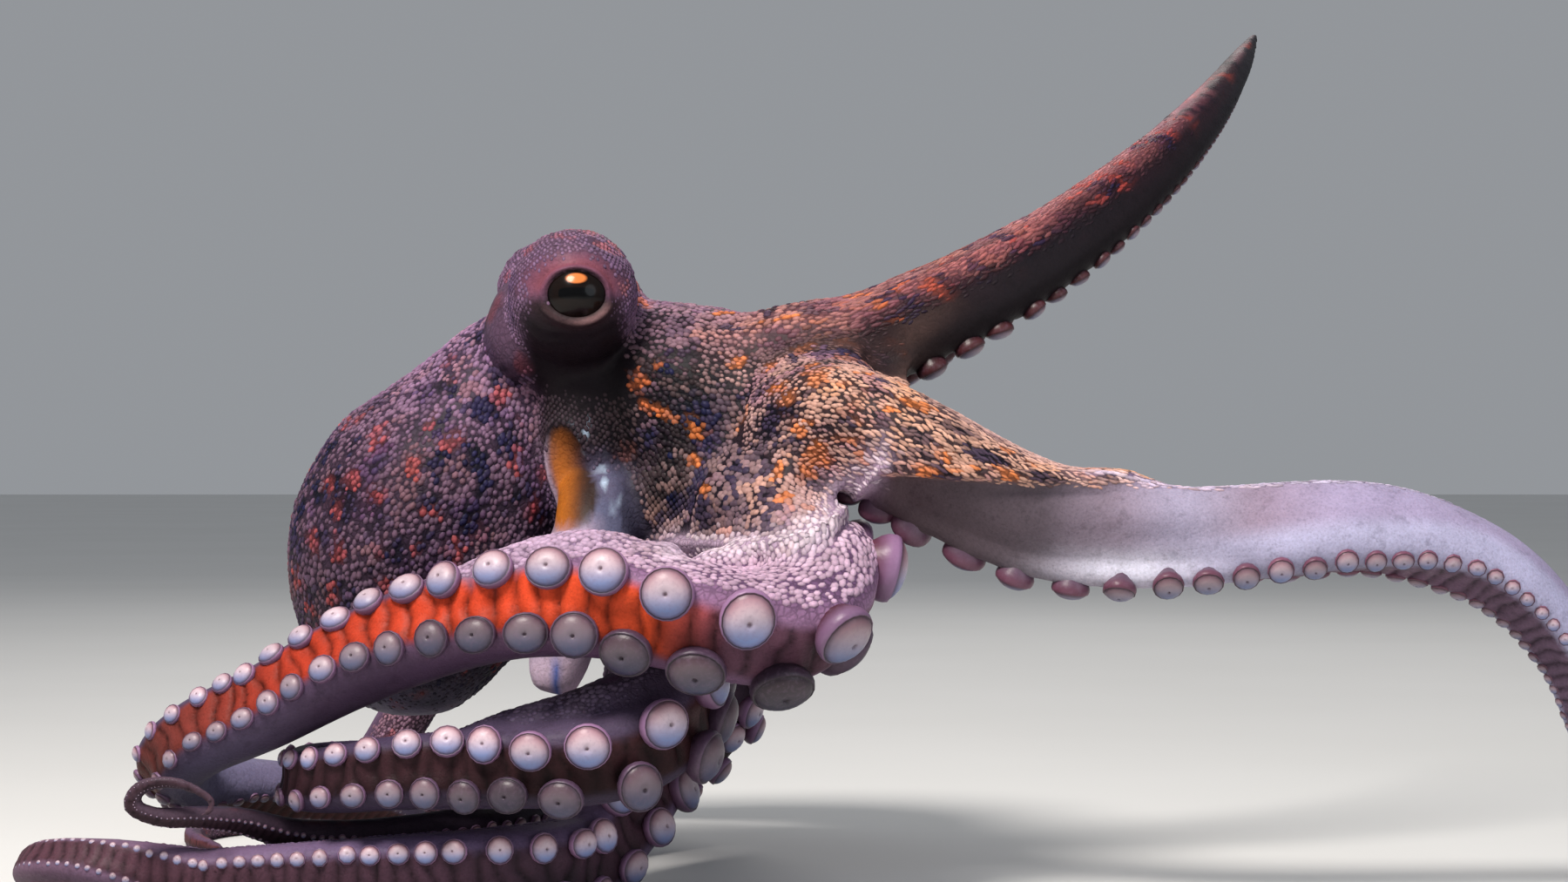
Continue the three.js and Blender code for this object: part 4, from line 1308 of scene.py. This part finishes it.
def octopus_skin(name, on_grains):
    """Wet skin. tone is its colour, with painted shade in it, bare how smooth it is, and tip how far up a
    grain, by which each grain is painted lighter at its top.
    """
    material, flow, surface = finish(name, coat=0.03, coat_roughness=0.3, subsurface=0.06, specular=0.1)
    place = flow.place()
    tone, bare = flow.named("tone", True), flow.named("bare")
    fine = flow.noise(850, 2, at=place) - 0.5
    slow = flow.noise(45, 3, 0.6, at=place) - 0.5
    shade = 1.02 + fine * 0.45 + slow * 0.6
    if on_grains:
        tip = flow.named("tip")
        # painted light: each grain is painted light at its top and dark at its base
        shade = shade * (0.26 + tip * 0.86)
        height = flow.noise(1300, 2, at=place) * 0.5
    else:
        furrow = flow.cells(360, "DISTANCE_TO_EDGE", at=place).step(0.0, 0.22)
        pore = flow.cells(900, at=place).step(0.1, 0.5)
        # painted shade in the furrows between the skin's cells and in its pores
        shade = shade * (1.0 - (1.0 - furrow) * (1.0 - bare) * 0.4) * (0.9 + pore * 0.12)
        height = furrow * (1.0 - bare * 0.7) * 0.5 + pore * 0.14 + flow.noise(1300, 2, at=place) * 0.15
        height = height + flow.noise(330, 3, 0.6, at=place) * 0.5
        freckle = flow.noise(210, 3, 0.65, at=place).step(0.54, 0.7)
        shade = shade * (1.0 - freckle * bare * 0.2)
    colour = flow.node("VectorMath", dict(operation="SCALE"), {0: tone, "Scale": shade})
    bump = flow.node("Bump", None, {"Strength": 0.5, "Distance": 0.0006, "Height": height})
    rough = 0.42 + flow.noise(240, 2, at=place) * 0.24
    drive(surface, Base_Color=colour, Roughness=rough, Normal=bump)
    return material


painted = paint(at, normals_of(skin))
give(skin, "tone", painted.tone)
give(skin, "bare", painted.bare)
skin.data.materials.clear()
skin.data.materials.append(octopus_skin("octopus_skin", False))
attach(skin, "root")
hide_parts(*[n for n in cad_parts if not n.startswith(("eye", "beak", "mouth"))])

# ------------------------------------------------------------------ suckers
# Each sucker is a muscular cup on a short neck. Its face is a pale, finely rayed cushion
# with a small dimple, set in a thin dark groove and a lavender collar.

SUCKER_PROFILE = [  # outwards from the dimple: distance from the axis, height, over the radius
    (0.0, 0.1), (0.04, 0.11), (0.08, 0.19), (0.13, 0.24), (0.36, 0.22), (0.6, 0.14), (0.78, 0.02),
    (0.88, -0.09), (0.905, -0.15), (0.93, -0.12), (0.965, -0.13), (1.0, -0.26), (0.99, -0.44),
    (0.9, -0.64), (0.74, -0.85), (0.56, -1.3)]
SUCKER_SIZES = [(15, 20, 1), (8, 14, 1), (0, 9, 2)]  # from this diameter: sides, step in the profile


def spun(name, outline, steps):
    """A piece turned from an outline of (distance from Z, height) points."""
    mesh = bpy.data.meshes.new(name)
    edges = [(i, i + 1) for i in range(len(outline) - 1)]
    mesh.from_pydata([(x, 0, z) for x, z in outline], edges, [])
    piece = bpy.data.objects.new(name, mesh)
    bpy.context.collection.objects.link(piece)
    bpy.ops.object.select_all(action="DESELECT")
    piece.select_set(True)
    bpy.context.view_layer.objects.active = piece
    bpy.ops.object.mode_set(mode="EDIT")
    bpy.ops.mesh.select_all(action="SELECT")
    bpy.ops.mesh.spin(steps=steps, angle=2 * math.pi, center=(0, 0, 0), axis=(0, 0, 1))
    bpy.ops.mesh.select_all(action="SELECT")
    bpy.ops.mesh.remove_doubles(threshold=1e-4)
    bpy.ops.mesh.normals_make_consistent(inside=False)
    bpy.ops.object.mode_set(mode="OBJECT")
    return piece


# of some arms: how dark the lower row is painted, as shade, least and most, and how far along that lasts
DIM_LOWER_ROW = dict(r3=(0.1, 0.32, 265), r4=(0.07, 0.24, 205), l4=(0.5, 0.85, 900))
SUCKER_WALLS = dict(r1=((104, 54, 60), (60, 26, 32)), r2=((138, 84, 108), (124, 96, 120)))
LAVENDER_WALLS = (152, 114, 152), (90, 42, 60)
SUCKER_OFF_FLOOR = 0.0001  # in metres


def sucker_tones(at, d, axis, offset, walls, dim):
    """Colour of each point of each sucker, with light and shade painted in: at are the pattern's points,
    offset the placed ones'.
    """
    n = len(d)
    rho = np.hypot(at[:, 0], at[:, 1])[None] * np.ones((n, 1))
    face = (at[None, :, 2] > -0.2) & (rho < 0.95)
    below = -offset[:, :, 2] / (0.5 * d[:, None])
    colour = np.broadcast_to(linear(202, 180, 190), (*below.shape, 3))
    # painted light: the top of each face is painted warm pink, as lit, and its lower part blue, as cool light
    # from below
    colour = blend(colour, linear(178, 116, 122), 0.75 * smooth(rho, 0.35, 0.9) * smooth(-below, -0.2, 0.6))
    colour = blend(colour, linear(84, 120, 178), 0.88 * smooth(below, -0.35, 0.75))
    colour = blend(colour, linear(120, 92, 86), (1 - smooth(rho, 0.04, 0.13)) * 0.45)
    colour = blend(colour, linear(110, 84, 112), smooth(rho, 0.66, 0.88) * 0.55)
    colour = blend(colour, linear(48, 26, 42), bell(rho - 0.91, 0.035) * face)
    high, low = walls[:, :1], walls[:, 1:]
    wall = high + (low - high) * smooth(-at[None, :, 2, None], 0.3, 0.9)
    # painted shade on the lower side of each wall
    wall = blend(wall, linear(70, 48, 70), 0.6 * smooth(below, 0.0, 1.0))
    colour = blend(colour, wall, (~face).astype(float))
    # painted shade on suckers that face down, and on those of the lower row as dim says
    downward = smooth(-axis[:, 2], 0.1, 0.8)[:, None, None]
    colour = blend(colour, linear(44, 33, 46), (1 - dim)[:, None] * np.ones(rho.shape))
    return colour * (chance.uniform(0.82, 1.05, (n, 1, 1)) * (1 - 0.45 * downward))


def sucker_finish():
    """Wet, finely mottled skin over the suckers' colours, which carry painted light and shade."""
    material, flow, surface = finish("sucker_skin", coat=0.12, coat_roughness=0.3, specular=0.3)
    place = flow.place()
    grain = flow.noise(700, 2, at=place)
    colour = (grain.step(0.45, 0.75) * 0.18).mixed(flow.named("tone", True), rgba(120, 96, 120))
    height = flow.noise(900, 2, at=place)
    bump = flow.node("Bump", None, {"Strength": 0.35, "Distance": 0.0003, "Height": height})
    drive(surface, Base_Color=colour, Roughness=0.3 + grain * 0.25, Normal=bump)
    return material


def keep_above(obj, height):
    at = points_of(obj)
    at[:, 2] = np.maximum(at[:, 2], height)
    put_points(obj, at)


def sucker_piece(name, arms, material):
    """The suckers of some arms as one piece, the small ones with fewer sides."""
    each = {k: np.concatenate([SUCKERS[a][k] for a in arms]) for k in SUCKERS[arms[0]]}
    each["walls"] = np.concatenate([
        np.tile([linear(*c) for c in SUCKER_WALLS.get(a, LAVENDER_WALLS)], (len(SUCKERS[a]["d"]), 1, 1))
        for a in arms])
    # how far painted shade darkens each sucker of the lower row
    dims = []
    for a in arms:
        low, high, until = DIM_LOWER_ROW.get(a, (1, 1, 0))
        dimmed = chance.uniform(low, high, len(SUCKERS[a]["d"]))
        dimmed += 0.4 * smooth(SUCKERS[a]["s"], until - 20, until + 30)
        dims.append(1 - SUCKERS[a]["low"] * (1 - np.minimum(dimmed, 1)))
    each["dim"] = np.concatenate(dims)
    made = []
    largest = math.inf
    for smallest, sides, step in SUCKER_SIZES:
        use = (each["d"] >= smallest) & (each["d"] < largest)
        largest = smallest
        foot, axis, across, d, height, walls, dim = (
            each[k][use] for k in ("foot", "axis", "across", "d", "height", "walls", "dim"))
        outline = SUCKER_PROFILE[:4:step] + SUCKER_PROFILE[4::step]
        at, faces = pattern_of(spun("sucker", outline, sides))
        squash = chance.uniform(0.93, 1.07, (len(d), 1))
        radius = 0.5 * d[:, None]
        bases = np.stack([across * radius * squash, np.cross(axis, across) * radius / squash,
                          axis * radius], axis=2)
        origins = foot + axis * height[:, None]
        cups = strewn(name, (at, faces), origins, bases)
        offset = np.einsum("nij,kj->nki", bases, at)
        give(cups, "tone", sucker_tones(at, d, axis, offset, walls, dim).reshape(-1, 3))
        made.append(cups)
    cups = joined(made, name)
    keep_above(cups, SUCKER_OFF_FLOOR)
    cups.data.materials.append(material)
    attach(cups, "root")


sucker_skin = sucker_finish()
sucker_piece("suckers_right", ("r1", "r2", "r3", "r4"), sucker_skin)
sucker_piece("suckers_left", ("l4", "l3", "l2", "l1"), sucker_skin)

# ------------------------------------------------------------------ grains
# Grains of firm skin, a few millimetres long, stand close together in rows along the body,
# painted palest at their tops and darker at their bases, as light and shade. They are left
# out where the skin is smooth: the hoods round the eyes, the sucker sides, the funnel and
# the free edges of the web.

GRAIN_PITCH = 2.35
GRAINS_IN_A_PIECE = 10500
TOOTH_PITCH, TOOTH_SIZE = 1.9, 2.2
HALF_RING = 2.05  # radians, from the middle of an arm's back
DRAWN_OUT = 0.78  # how much smaller they are on the drawn sheet
GRAIN_SIDES = 6
GRAIN_RINGS = [(1.0, 0.0), (0.68, 0.7)]  # how wide, how high
GRAIN_SUNK = 0.22  # of its height, into the skin
GRAIN_OFF_FLOOR = 0.00005  # in metres
GRAIN_REACH, GRAIN_ASTRAY = 7.0, 6.8  # how far from its place a grain's skin may be
CROWD_CELL, CROWDED = 1.9, 0.66  # cells for finding neighbours, and how near is too near
BAKE_PATCH = 0.003


def grain_pattern():
    """A low oval dome with its top a little forward."""
    bpy.ops.object.select_all(action="DESELECT")
    (wide, low), *rings = GRAIN_RINGS
    bpy.ops.mesh.primitive_circle_add(vertices=GRAIN_SIDES, radius=wide)
    dome = bpy.context.object
    bpy.ops.object.mode_set(mode="EDIT")
    bpy.ops.mesh.select_all(action="SELECT")
    for next_wide, high in rings:
        bpy.ops.mesh.extrude_region_move(TRANSFORM_OT_translate={"value": (0.03, 0, high - low)})
        bpy.ops.transform.resize(value=(next_wide / wide, next_wide / wide, 1))
        wide, low = next_wide, high
    bpy.ops.mesh.extrude_region_move(TRANSFORM_OT_translate={"value": (0.04, 0, 1 - low)})
    bpy.ops.mesh.merge(type="CENTER")
    bpy.ops.mesh.select_all(action="SELECT")
    bpy.ops.mesh.normals_make_consistent(inside=False)
    bpy.ops.object.mode_set(mode="OBJECT")
    return pattern_of(dome)


def rows_on_body(body, scale=1.0):
    """Places and lie of grains in rings round a body, and their place on its unrolled shape."""
    t = np.linspace(0.004, 0.996, 300)
    outline = np.stack([t * body.line.length, body.radius(t) * body.cap(t)])
    run = np.append(0, np.hypot(*np.diff(outline)).cumsum())
    rings = np.interp(np.arange(0, run[-1], GRAIN_PITCH * scale), run, t)
    share, angle = [], []
    for k, ring in enumerate(rings):
        round_it = 2 * math.pi * np.interp(ring, t, outline[1])
        count = max(int(round_it / (GRAIN_PITCH * scale)), 3)
        share.append(np.full(count, ring))
        angle.append((np.arange(count) + 0.5 * (k % 2)) * 2 * math.pi / count)
    share, angle = np.concatenate(share), np.concatenate(angle)
    share = np.clip(share + chance.normal(0, 0.0045, len(share)), 0.002, 0.998)
    angle = angle + chance.normal(0, 0.9 / 55, len(angle))
    at = body.surface(share, angle)
    ahead = body.surface(np.minimum(share + 0.01, 1), angle)
    ahead -= body.surface(np.maximum(share - 0.01, 0), angle)
    return at, unit(ahead), share, angle / (2 * math.pi) % 1, np.full(len(at), GRAIN_PITCH * scale)


def rows_on_lump(centre, radii, scale=1.0):
    """The same for a rounded lump, in one even spiral from its top to its bottom."""
    area = 4 * math.pi * ((np.prod(radii)) ** (2 / 3))
    n = int(area / (GRAIN_PITCH * scale) ** 2)
    k = np.arange(n) + 0.5
    polar, angle = np.arccos(1 - 2 * k / n), math.pi * (1 + 5**0.5) * k
    ball = np.stack([np.sin(polar) * np.cos(angle), np.sin(polar) * np.sin(angle), np.cos(polar)], 1)
    at = ball * radii + centre
    lie = np.tile((0.25, 0, -1.0), (n, 1))
    return at, lie, polar / math.pi, angle / (2 * math.pi) % 1, np.full(n, GRAIN_PITCH * scale)


def rows_on_arm(arm):
    """The same for an arm, in half rings over its back. An arm with a keel has teeth on it."""
    keeled = arm.crest > 1.2
    s, angle, pitches = [], [], []
    if keeled:
        teeth = np.arange(125, 360, TOOTH_PITCH)
        s, angle, pitches = [teeth], [np.zeros(len(teeth))], [np.full(len(teeth), TOOTH_SIZE)]
    at, k = 6.0, 0
    while at < arm.length * 0.97:
        r = float(arm.radius(at))
        pitch = (1.0 + 0.06 * r) * (DRAWN_OUT if keeled and at < 175 else 1)
        count = max(int(2 * HALF_RING * 1.05 * r / pitch), 2)
        s.append(np.full(count, at))
        angle.append((np.arange(count) + 0.25 + 0.5 * (k % 2)) / count * 2 * HALF_RING - HALF_RING)
        pitches.append(np.full(count, pitch))
        at += pitch * 1.12
        k += 1
    s, angle, pitch = np.concatenate(s), np.concatenate(angle), np.concatenate(pitches)
    loose = np.where(keeled & (angle == 0), 0.03, 0.24)
    s = s + chance.normal(0, 1, len(s)) * loose * pitch
    angle = angle + chance.normal(0, 1, len(s)) * loose * pitch / arm.radius(s)
    at = arm_surface(arm, s, angle)
    return at, arm.frame(s)[1], s / arm.length, angle / (2 * math.pi) + 0.5, pitch


def rows_on_web(web, scale=1.0):
    """The same for both faces of a web."""
    _, reach_a, _, reach_b = web
    rows = int(0.5 * (reach_a + reach_b) / GRAIN_PITCH / scale)
    u, v = np.meshgrid(np.linspace(0.12, 0.97, rows), np.linspace(0.02, 0.98, int(34 / scale)))
    u, v = u.ravel(), v.ravel()
    u = u + chance.normal(0, 0.004, len(u))
    v = np.clip(v + chance.normal(0, 0.006, len(v)), 0, 1)
    at = web_surface(web, u, v)
    ahead = unit(web_surface(web, u + 0.02, v) - web_surface(web, u - 0.02, v))
    side = unit(np.cross(ahead, web_surface(web, u, v + 0.02) - web_surface(web, u, v - 0.02)))
    both = np.concatenate([at + side * 6, at - side * 6])
    pitch = np.full(2 * len(at), GRAIN_PITCH * scale)
    return both, np.tile(ahead, (2, 1)), np.tile(u, 2), np.concatenate([v / 2, 0.5 + v / 2]), pitch


def side_of(arm_name):
    return "right_arms" if arm_name.startswith("r") else "left_arms"


# The unrolled skin is laid out in columns, one for each part, for the map of the grains.
# Each has the piece that its grains belong to, and they are broad and low on the folds.
grain_sources = [
    ("mantle", rows_on_body(mantle)), ("crown", rows_on_body(crown)),
    ("crown", rows_on_lump(*CROWN_UNDERSIDE)),
    *(("crown", rows_on_lump(*each, 0.85)) for each in HEAD_LUMPS),
    *(("crown", rows_on_lump(*each, 0.75)) for each in EYE_LUMPS.values()),
    *((side_of(name), rows_on_arm(arm)) for name, arm in ARMS.items()),
    ("web", rows_on_web(WEBS[0], DRAWN_OUT)), *(("web", rows_on_web(web)) for web in WEBS[1:]),
    *(("web", rows_on_body(each)) for each in ridges), ("web", rows_on_lump(*WEB_FOLD))]
piece_of_column, rows = zip(*grain_sources)
columns = len(rows)
FOLDED_ARM = piece_of_column.index("right_arms") + list(ARMS).index("r3")
FIRST_FOLD = columns - len(ridges) - 1
column = np.repeat(np.arange(columns), [len(each[0]) for each in rows])
where, lie, down_column, across_column, pitch = (np.concatenate(v) for v in zip(*rows))
skin_faces = [tuple(p.vertices) for p in skin.data.polygons]
tree = BVHTree.FromPolygons([Vector(p) for p in points_of(skin)], skin_faces)
first_corner = np.array([face[0] for face in skin_faces])
found = [tree.find_nearest(p, GRAIN_REACH * MM) for p in map(Vector, to_frame(where))]
hit = np.array([f[0] is not None for f in found])
where, lie, down_column, across_column, pitch, column = (
    v[hit] for v in (where, lie, down_column, across_column, pitch, column))
root = (np.array([f[0] for f in found if f[0] is not None]) - SHIFT) / MM
normal = np.array([f[1] for f in found if f[0] is not None])
corner = first_corner[[f[2] for f in found if f[0] is not None]]
shown = painted.bare[corner] < chance.uniform(0.35, 0.95, len(root))
shown &= np.linalg.norm(root - where, axis=1) < GRAIN_ASTRAY
shown &= pocket_depth(root) > 1.05

# where two parts meet, grains that crowd an earlier one are dropped
taken = {}
steps_round = [(a, b, c) for a in (-1, 0, 1) for b in (-1, 0, 1) for c in (-1, 0, 1)]


def crowded(p, cell, limit):
    """Whether an earlier grain is nearer than the limit, given squared."""
    for a, b, c in steps_round:
        for q in taken.get((cell[0] + a, cell[1] + b, cell[2] + c), ()):
            if (p[0] - q[0]) ** 2 + (p[1] - q[1]) ** 2 + (p[2] - q[2]) ** 2 < limit:
                return True
    return False


for i in np.flatnonzero(shown):
    cell = tuple((root[i] // CROWD_CELL).astype(int))
    shown[i] = not crowded(root[i], cell, (CROWDED * pitch[i]) ** 2)
    if shown[i]:
        taken.setdefault(cell, []).append(root[i])
root, lie, down_column, across_column, pitch, column, normal, corner = (
    v[shown] for v in (root, lie, down_column, across_column, pitch, column, normal, corner))
n = len(root)

lie = unit(lie - normal * dot(lie, normal)[:, None])
turn = chance.normal(0, 0.22, n)[:, None]
lie = unit(lie + np.cross(normal, lie) * turn)
aside = np.cross(normal, lie)
uneven = 1 + 0.28 * lattice(root, 14, 5) + chance.normal(0, 0.1, n)
drawn = smooth(root[:, 0], -10, 40) * smooth(root[:, 2], 120, 160)
bare = painted.bare[corner]
wide = (0.58 - 0.14 * drawn) * pitch * np.clip(uneven, 0.6, 1.4) * (1 - 0.4 * bare)
on_folds = (column == FOLDED_ARM) | (column >= FIRST_FOLD)
wide = (wide * np.where(on_folds, 1.22, 1))[:, None]
long = wide * chance.uniform(1.1, 1.6, (n, 1)) * (1 + 1.0 * drawn[:, None])
tall = wide * chance.uniform(0.5, 0.8, (n, 1)) * (1 - 0.5 * bare)[:, None]
tall *= np.where(on_folds, 0.65, 1)[:, None]
bases = np.stack([lie * long, aside * wide, normal * tall], axis=2)
dome, dome_faces = grain_pattern()
dome[:, 2] -= GRAIN_SUNK
grain_tone = painted.grain[corner] * chance.uniform(0.68, 1.12, (n, 1))
# how far up each grain, by which its top is painted lighter, as lit
tips = smooth(dome[:, 2], -0.15, 0.85)
flat = dome[:, :2] / np.ptp(dome[:, 0]) * BAKE_PATCH
map_place = np.stack([(column + 0.08 + 0.84 * across_column) / columns, 0.02 + 0.96 * down_column], 1)
grain_skin = octopus_skin("grain_skin", True)
GRAIN_SLOTS = dict(mantle="body_skin", crown="body_skin", right_arms="arm_skin", left_arms="arm_skin",
                   web="web_skin")
for name, slot in GRAIN_SLOTS.items():
    use = np.flatnonzero(np.array(piece_of_column)[column] == name)
    for number, first in enumerate(range(0, len(use), GRAINS_IN_A_PIECE), 1):
        here = use[first:first + GRAINS_IN_A_PIECE]
        piece = strewn(f"grains_{name}_{number}", (dome, dome_faces), root[here], bases[here])
        give(piece, "tone", np.repeat(grain_tone[here], len(dome), axis=0))
        give(piece, "bare", np.repeat(bare[here], len(dome)))
        give(piece, "tip", np.tile(tips, len(here)))
        uv = (map_place[here][:, None, :] + flat[None]).reshape(-1, 2)
        loops = np.empty(len(piece.data.loops), np.int32)
        piece.data.loops.foreach_get("vertex_index", loops)
        piece.data.uv_layers.new(name="OFBake").data.foreach_set("uv", uv[loops].astype(np.float32).ravel())
        keep_above(piece, GRAIN_OFF_FLOOR)
        piece.data.materials.append(grain_skin)
        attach(piece, "root")

# ------------------------------------------------------------------ eyes
# Each eye is a wet ball with a dark bronze iris, a long level pupil and a small orange
# highlight painted on the iris, under a clear cornea that stands a little proud. It sits
# loose between the lids.

PUPIL_LONG, PUPIL_HIGH = 0.46, 0.15
CORNEA_RISE, CORNEA_WIDTH = 0.045, 0.62


def eye_finish():
    """gaze is each point's place on the eye, from its axis, over the eye's radius."""
    material, flow, surface = finish("eye_wet", roughness=0.2, coat=0.1, coat_roughness=0.03, specular=0.14)
    gaze = flow.named("gaze", True)
    parts = [flow.node("SeparateColor", None, {"Color": gaze}, out=k) for k in (0, 1)]
    x, y = parts[0] - 0.5, parts[1] - 0.5
    far = flow.math("SQRT", x * x + y * y) * 2.0
    rays = flow.noise(260, 3, 0.7)
    iris = rays.mixed(rgba(9, 6, 6), rgba(26, 15, 11))
    # painted highlight: a small orange glint on the top of the iris
    painted_highlight = (y - 0.2) * 14.0
    painted_highlight = (x * x * 52.0 + painted_highlight * painted_highlight).step(1.3, 0.5)
    iris = painted_highlight.mixed(iris, rgba(214, 120, 62))
    iris = far.step(0.6, 0.8).mixed(iris, rgba(8, 6, 6))
    px, py = flow.math("ABSOLUTE", x) * (2.0 / PUPIL_LONG), flow.math("ABSOLUTE", y) * (2.0 / PUPIL_HIGH)
    slot = (px * px * px * px + py * py * py * py).step(1.25, 0.85)
    colour = slot.mixed(iris, rgba(3, 3, 4))
    drive(surface, Base_Color=colour)
    return material


eye_wet = eye_finish()
for name in EYES:
    axis = unit(np.array(EYE_AXES[name]))
    aside = unit(np.cross(axis, (0, 0, 1)))
    up = np.cross(aside, axis)
    eye = plain_ball(64, 40)
    eye.name = eye.data.name = name.replace("eye_", "eyeball_")
    ball = points_of(eye)
    cornea = CORNEA_RISE * bell(np.hypot(ball[:, 0], ball[:, 1]), CORNEA_WIDTH) * (ball[:, 2] > 0)
    shaped = ball * (1 + cornea[:, None]) * EYE_RADIUS
    put_points(eye, to_frame(np.array(EYES[name]) + shaped @ np.array([aside, up, axis])))
    give(eye, "gaze", 0.5 + ball / 2)
    eye.data.shade_smooth()
    eye.data.materials.append(eye_wet)
    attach(eye, "root")
    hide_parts(name)

# ------------------------------------------------------------------ mouth
# In the middle of the arms a puckered lip of soft flesh closes round a small horny beak. Both
# are turned about the mouth's axis and sit in the smooth disc of flesh between the arms.

LIP_OUTLINE = [(15.5, -7), (15.2, 2), (14.6, 8), (12.6, 12.5), (9.6, 15.2), (7.0, 15.6), (5.3, 13.6),
               (4.9, 9)]
LIP_MIDDLE = (0, 8.4)
PUCKERS, PUCKER_DEPTH = 17, 0.9
mouth_axis = np.array(ORAL_AXIS)
mouth_across = np.array((0, 1.0, 0))
mouth_up = np.cross(mouth_axis, mouth_across)
mouth_base = np.array([mouth_across, mouth_up, mouth_axis])

lip_curve = Line([(x, 0, z) for x, z in LIP_OUTLINE])
outline = [(p[0], p[2]) for p in lip_curve.at(np.linspace(0, 1, 28))]
lip = spun("lip", [*outline, LIP_MIDDLE], 8 * PUCKERS)
at = points_of(lip)
around = np.arctan2(at[:, 1], at[:, 0])
outwards = np.hypot(at[:, 0], at[:, 1])
pucker = np.abs(np.sin(around * PUCKERS / 2)) ** 0.7 - 0.6
strength = PUCKER_DEPTH * smooth(at[:, 2], 8, 14) * smooth(outwards, 3.5, 6)
away = at / (outwards + 1e-6)[:, None]
away[:, 2] = 0.8
at += away * (pucker * strength)[:, None]
put_points(lip, to_frame(np.array(MOUTH) + at @ mouth_base))
lip.data.shade_smooth()
give(lip, "fold", smooth(pucker, -0.6, 0.4))
material, flow, surface = finish("lip_flesh", coat=0.3)
# painted shade in the grooves between the puckers, and paler flesh on their ridges, as lit
colour = (flow.named("fold") * 0.8 + flow.noise(300, 3) * 0.2).mixed(rgba(72, 36, 42), rgba(164, 112, 112))
drive(surface, Base_Color=colour, Roughness=0.32 + flow.noise(500) * 0.2)
lip.data.materials.append(material)
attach(lip, "root")
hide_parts("mouth_lip")

beak = plain_ball(32, 20)
beak.name = beak.data.name = "beak_horn"
at = points_of(beak)
point = smooth(at[:, 2], -0.2, 1)
at[:, 0] = at[:, 0] * (4.2 - 3.4 * point) + 1.6 * point**2
at[:, 1] *= 4.2 - 3.6 * point
at[:, 2] = 10.4 + 5.4 * at[:, 2]
gape = bell(np.abs(at[:, 0] - 0.6), 0.5) * 0.5
at[:, 1] *= 1 - gape
put_points(beak, to_frame(np.array(MOUTH) + at @ mouth_base))
beak.data.shade_smooth()
material, flow, surface = finish("beak_horn", roughness=0.25, coat=0.4)
colour = flow.noise(420, 3).mixed(rgba(20, 12, 10), rgba(74, 46, 30))
drive(surface, Base_Color=colour)
beak.data.materials.append(material)
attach(beak, "root")
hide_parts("beak")

# ------------------------------------------------------------------ studio
# A pale floor, three soft lamps and a pale sky round them, and the camera level with the
# middle of the animal.

FLOOR_SIZE = 20.0
bpy.ops.mesh.primitive_plane_add(size=FLOOR_SIZE)
floor = bpy.context.object
floor.name = "studio_floor"
material, flow, surface = finish("studio_paper", roughness=0.9, specular=0.1)
tint = flow.noise(3, 2).mixed(rgba(214, 214, 212), rgba(222, 222, 221))
drive(surface, Base_Color=tint)
floor.data.materials.append(material)

CAMERA_AWAY, CAMERA_HEIGHT = 1400, 181
SENSOR, PICTURE_AT_ANIMAL = 36.0, 648.0
bpy.ops.object.camera_add(location=to_frame(np.array((0, -CAMERA_AWAY, CAMERA_HEIGHT))),
                          rotation=(math.pi / 2, 0, 0))
camera = bpy.context.object
camera.data.sensor_width = SENSOR
camera.data.lens = SENSOR * CAMERA_AWAY / PICTURE_AT_ANIMAL
bpy.context.scene.camera = camera

world = bpy.data.worlds.new("studio")
world.use_nodes = True
world.node_tree.nodes["Background"].inputs["Color"].default_value = (0.86, 0.9, 0.96, 1)
world.node_tree.nodes["Background"].inputs["Strength"].default_value = 0.34
bpy.context.scene.world = world


def soft_lamp(name, towards, place, size, power, colour):
    bpy.ops.object.light_add(type="AREA", location=place)
    lamp = bpy.context.object
    lamp.name = name
    lamp.data.shape, lamp.data.size, lamp.data.energy, lamp.data.color = "DISK", size, power, colour
    lamp.rotation_mode = "QUATERNION"
    lamp.rotation_quaternion = (Vector(towards) - Vector(place)).to_track_quat("-Z", "Y")


soft_lamp("key", (0, 0, 0.15), (-0.6, -0.9, 1.5), 0.6, 38, (1.0, 0.94, 0.88))
soft_lamp("fill", (0, 0, 0.15), (1.3, -1.2, 0.7), 1.2, 6, (0.85, 0.92, 1.0))
soft_lamp("rim", (0, 0, 0.2), (0.2, 1.8, 1.6), 1.0, 10, (1.0, 0.96, 0.92))
bpy.context.scene.view_settings.view_transform = "Standard"
